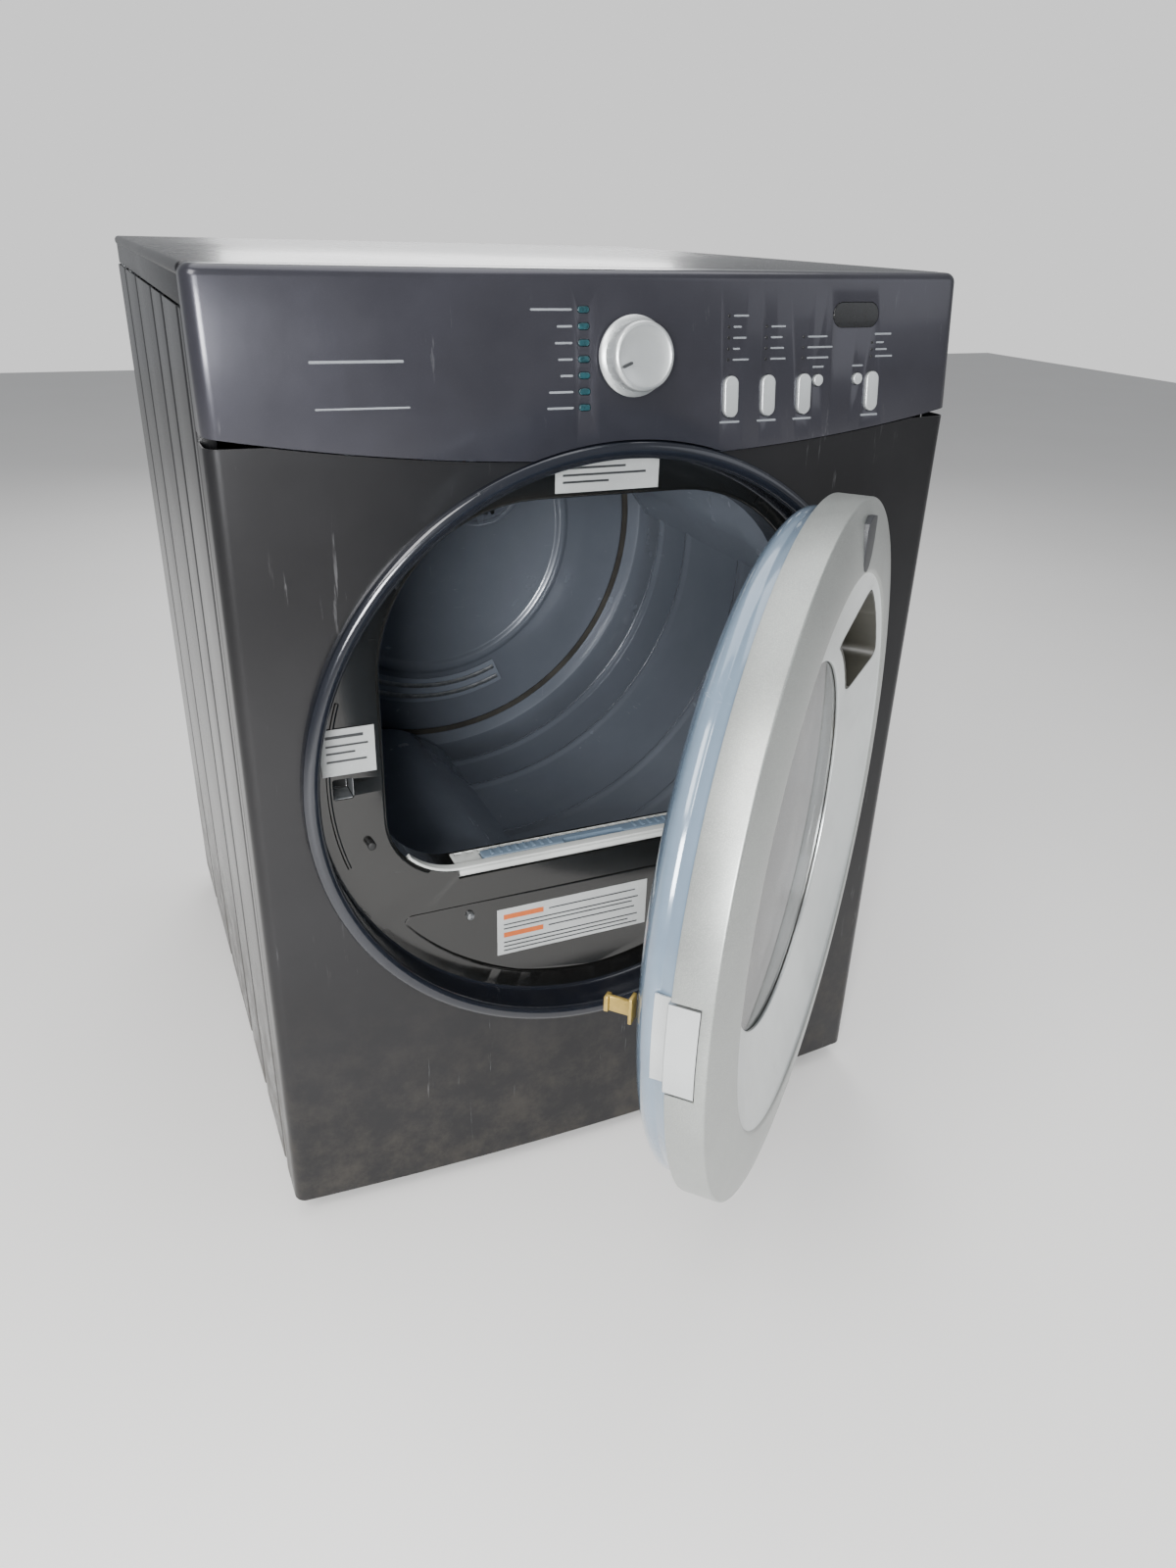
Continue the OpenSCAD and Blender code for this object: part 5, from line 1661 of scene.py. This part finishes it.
@dataclass
class Works(Assembly):
    """The working parts and small metalwork, refined from their CAD solids."""

    finish_of: dict[str, tuple[str, float, float]] = field(default_factory=lambda: {
        "base_pan": ("galvanised", 0.4, 30), "rear_panel": ("galvanised", 0.3, 30), "control_board": ("board_green", 0.3, 30),
        "latch_catch": ("steel_part", 0.5, 30), "door_switch": ("black_plastic", 0.6, 30), "switch_plunger": ("black_plastic", 0.9, 40),
        "front_seal": ("felt_grey", 0.3, 40), "rear_seal": ("felt_grey", 0.8, 40), "lint_duct": ("duct_white", 0.8, 30),
        "heater_housing": ("galvanised", 0.5, 30), "heater_element": ("wire_brown", 0.0, 40), "blower_housing": ("duct_white", 0.8, 30),
        "blower_wheel": ("steel_part", 0.0, 30), "exhaust_duct": ("galvanised", 0.2, 40), "motor_housing": ("steel_part", 0.8, 35),
        "motor_cradle": ("galvanised", 0.4, 30), "motor_shaft": ("steel_part", 0.4, 35), "idler_arm": ("zinc_yellow", 0.4, 30),
        "idler_pulley": ("duct_white", 0.5, 35), "idler_spring": ("steel_part", 0.0, 60), "drive_belt": ("rubber", 0.2, 30),
        "left_roller": ("rubber", 1.2, 40), "right_roller": ("rubber", 1.2, 40), "terminal_block": ("ceramic_tan", 0.6, 30),
        "terminal_cover": ("galvanised", 0.8, 30), "front_left_foot": ("black_plastic", 0.8, 35), "front_right_foot": ("black_plastic", 0.8, 35),
        "rear_left_foot": ("black_plastic", 0.8, 35), "rear_right_foot": ("black_plastic", 0.8, 35), "cabinet_fasteners": ("zinc_yellow", 0.6, 35),
        "door_strike": ("zinc_yellow", 0.7, 35), "hinge_leaf": ("zinc_yellow", 0.8, 35), "hinge_bracket": ("zinc_yellow", 0.9, 35),
    })

    def build(self) -> None:
        """Merges, rounds and dresses a copy of each CAD solid."""
        slots = {part["node"]: part["material_slot"] for part in frame["record"]["subparts"]}
        bodies = {node: body for body, nodes in frame["record"]["behaviour"]["bodies"].items() for node in nodes}
        for node, (finish, edge, angle) in self.finish_of.items():
            piece = Bench.copy(frame["nodes"][node], Vector())
            piece.name = f"{node}_body"
            piece.data.materials.clear()
            Bench.edit(piece)
            bpy.ops.mesh.remove_doubles(threshold=0.00001)
            bpy.ops.mesh.dissolve_limited(angle_limit=math.radians(1))
            Bench.clear()
            Bench.smooth(piece, angle, edge)
            self.hand_over(piece, bodies[node], finish, slots[node], [node])


# ---------------------------------------------------------------- light, floor and camera


@dataclass
class Studio:
    """The pale floor, soft light and the camera."""

    eye: Place = (-428.5, -876.9, 949.7)
    right: Place = (0.9136, -0.4055, 0.0286)
    down: Place = (-0.1609, -0.4253, -0.8907)
    forward: Place = (0.3734, 0.8091, -0.4538)
    lens: float = 25.51

    def floor(self) -> None:
        """A wide pale floor just under the feet."""
        Bench.clear()
        bpy.ops.mesh.primitive_plane_add(size=14, location=(0, 0, -0.0005))
        piece = bpy.context.object
        piece.name = "floor"
        g = Graph("pale_floor")
        g.set(Base_Color=g.mix(g.noise(2.0, 3.0), tone("ecebe9"), tone("f1f0ef")), Roughness=0.6)
        piece.data.materials.append(g.material)

    def lamp(self, name: str, place: Place, aim: Place, size: Point, power: float, colour: Place) -> None:
        """A soft rectangular lamp.

        Args:
            name: its name.
            place: where it hangs, in metres.
            aim: what it points at.
            size: its width and height in metres.
            power: its watts.
            colour: its colour.
        """
        data = bpy.data.lights.new(name, "AREA")
        data.shape, data.size, data.size_y = "RECTANGLE", size[0], size[1]
        data.energy, data.color = power, colour
        made = bpy.data.objects.new(name, data)
        made.location = place
        made.rotation_euler = (Vector(aim) - Vector(place)).to_track_quat("-Z", "Y").to_euler()
        bpy.context.collection.objects.link(made)

    def lights(self) -> None:
        """The lamps and the even light of the room."""
        self.lamp("key", (-1.6, -1.6, 2.6), (0, 0, 0.5), (1.4, 1.4), 75, (1.0, 0.98, 0.95))
        self.lamp("mouth", (-0.9, -1.7, 1.0), (0.08, 0.3, 0.55), (0.5, 0.5), 52, (1.0, 1.0, 1.0))
        self.lamp("fill", (2.2, -2.0, 1.8), (0, 0, 0.6), (1.6, 1.6), 9, (0.95, 0.97, 1.0))
        self.lamp("overhead", (0.2, 0.3, 2.9), (0, 0, 0.8), (2.2, 2.2), 40, (1.0, 1.0, 1.0))
        self.lamp("back", (0.8, 2.8, 1.8), (0, 0, 0.5), (1.6, 1.2), 30, (1.0, 1.0, 1.0))
        world = bpy.data.worlds.new("room")
        world.use_nodes = True
        tree = world.node_tree
        room = tree.nodes["Background"]
        room.inputs[0].default_value = (0.9, 0.92, 0.95, 1)
        room.inputs[1].default_value = 0.42
        wall = tree.nodes.new("ShaderNodeBackground")
        wall.inputs[0].default_value = (0.95, 0.95, 0.95, 1)
        wall.inputs[1].default_value = 1.1
        seen, either = tree.nodes.new("ShaderNodeLightPath"), tree.nodes.new("ShaderNodeMixShader")
        tree.links.new(seen.outputs["Is Camera Ray"], either.inputs[0])
        tree.links.new(room.outputs[0], either.inputs[1])
        tree.links.new(wall.outputs[0], either.inputs[2])
        tree.links.new(either.outputs[0], tree.nodes["World Output"].inputs["Surface"])
        bpy.context.scene.world = world

    def camera(self) -> None:
        """The camera, which looks down at the front's left."""
        data = bpy.data.cameras.new("camera")
        data.sensor_fit, data.sensor_height, data.sensor_width = "VERTICAL", 36.0, 27.0
        data.lens, data.clip_start, data.clip_end = self.lens, 0.05, 100
        made = bpy.data.objects.new("camera", data)
        right, up, back = Vector(self.right), -Vector(self.down), -Vector(self.forward)
        turn = Matrix((right, up, back)).transposed().to_4x4()
        made.matrix_world = Matrix.Translation(DATUM.world(*self.eye)) @ turn
        bpy.context.collection.objects.link(made)
        bpy.context.scene.camera = made

    def build(self) -> None:
        """Sets the stage."""
        self.floor()
        self.lights()
        self.camera()


def main() -> None:
    """Builds the stage and the dryer, sub-assembly by sub-assembly."""
    logging.basicConfig(level=logging.INFO, format="%(name)s: %(message)s")
    finishes = Finishes()
    Studio().build()
    for assembly in (Cabinet, Console, Mouth, Drum, Door, Works):
        LOG.info("building %s", assembly.__name__)
        assembly(finishes).build()


if __name__ == "__main__":
    main()
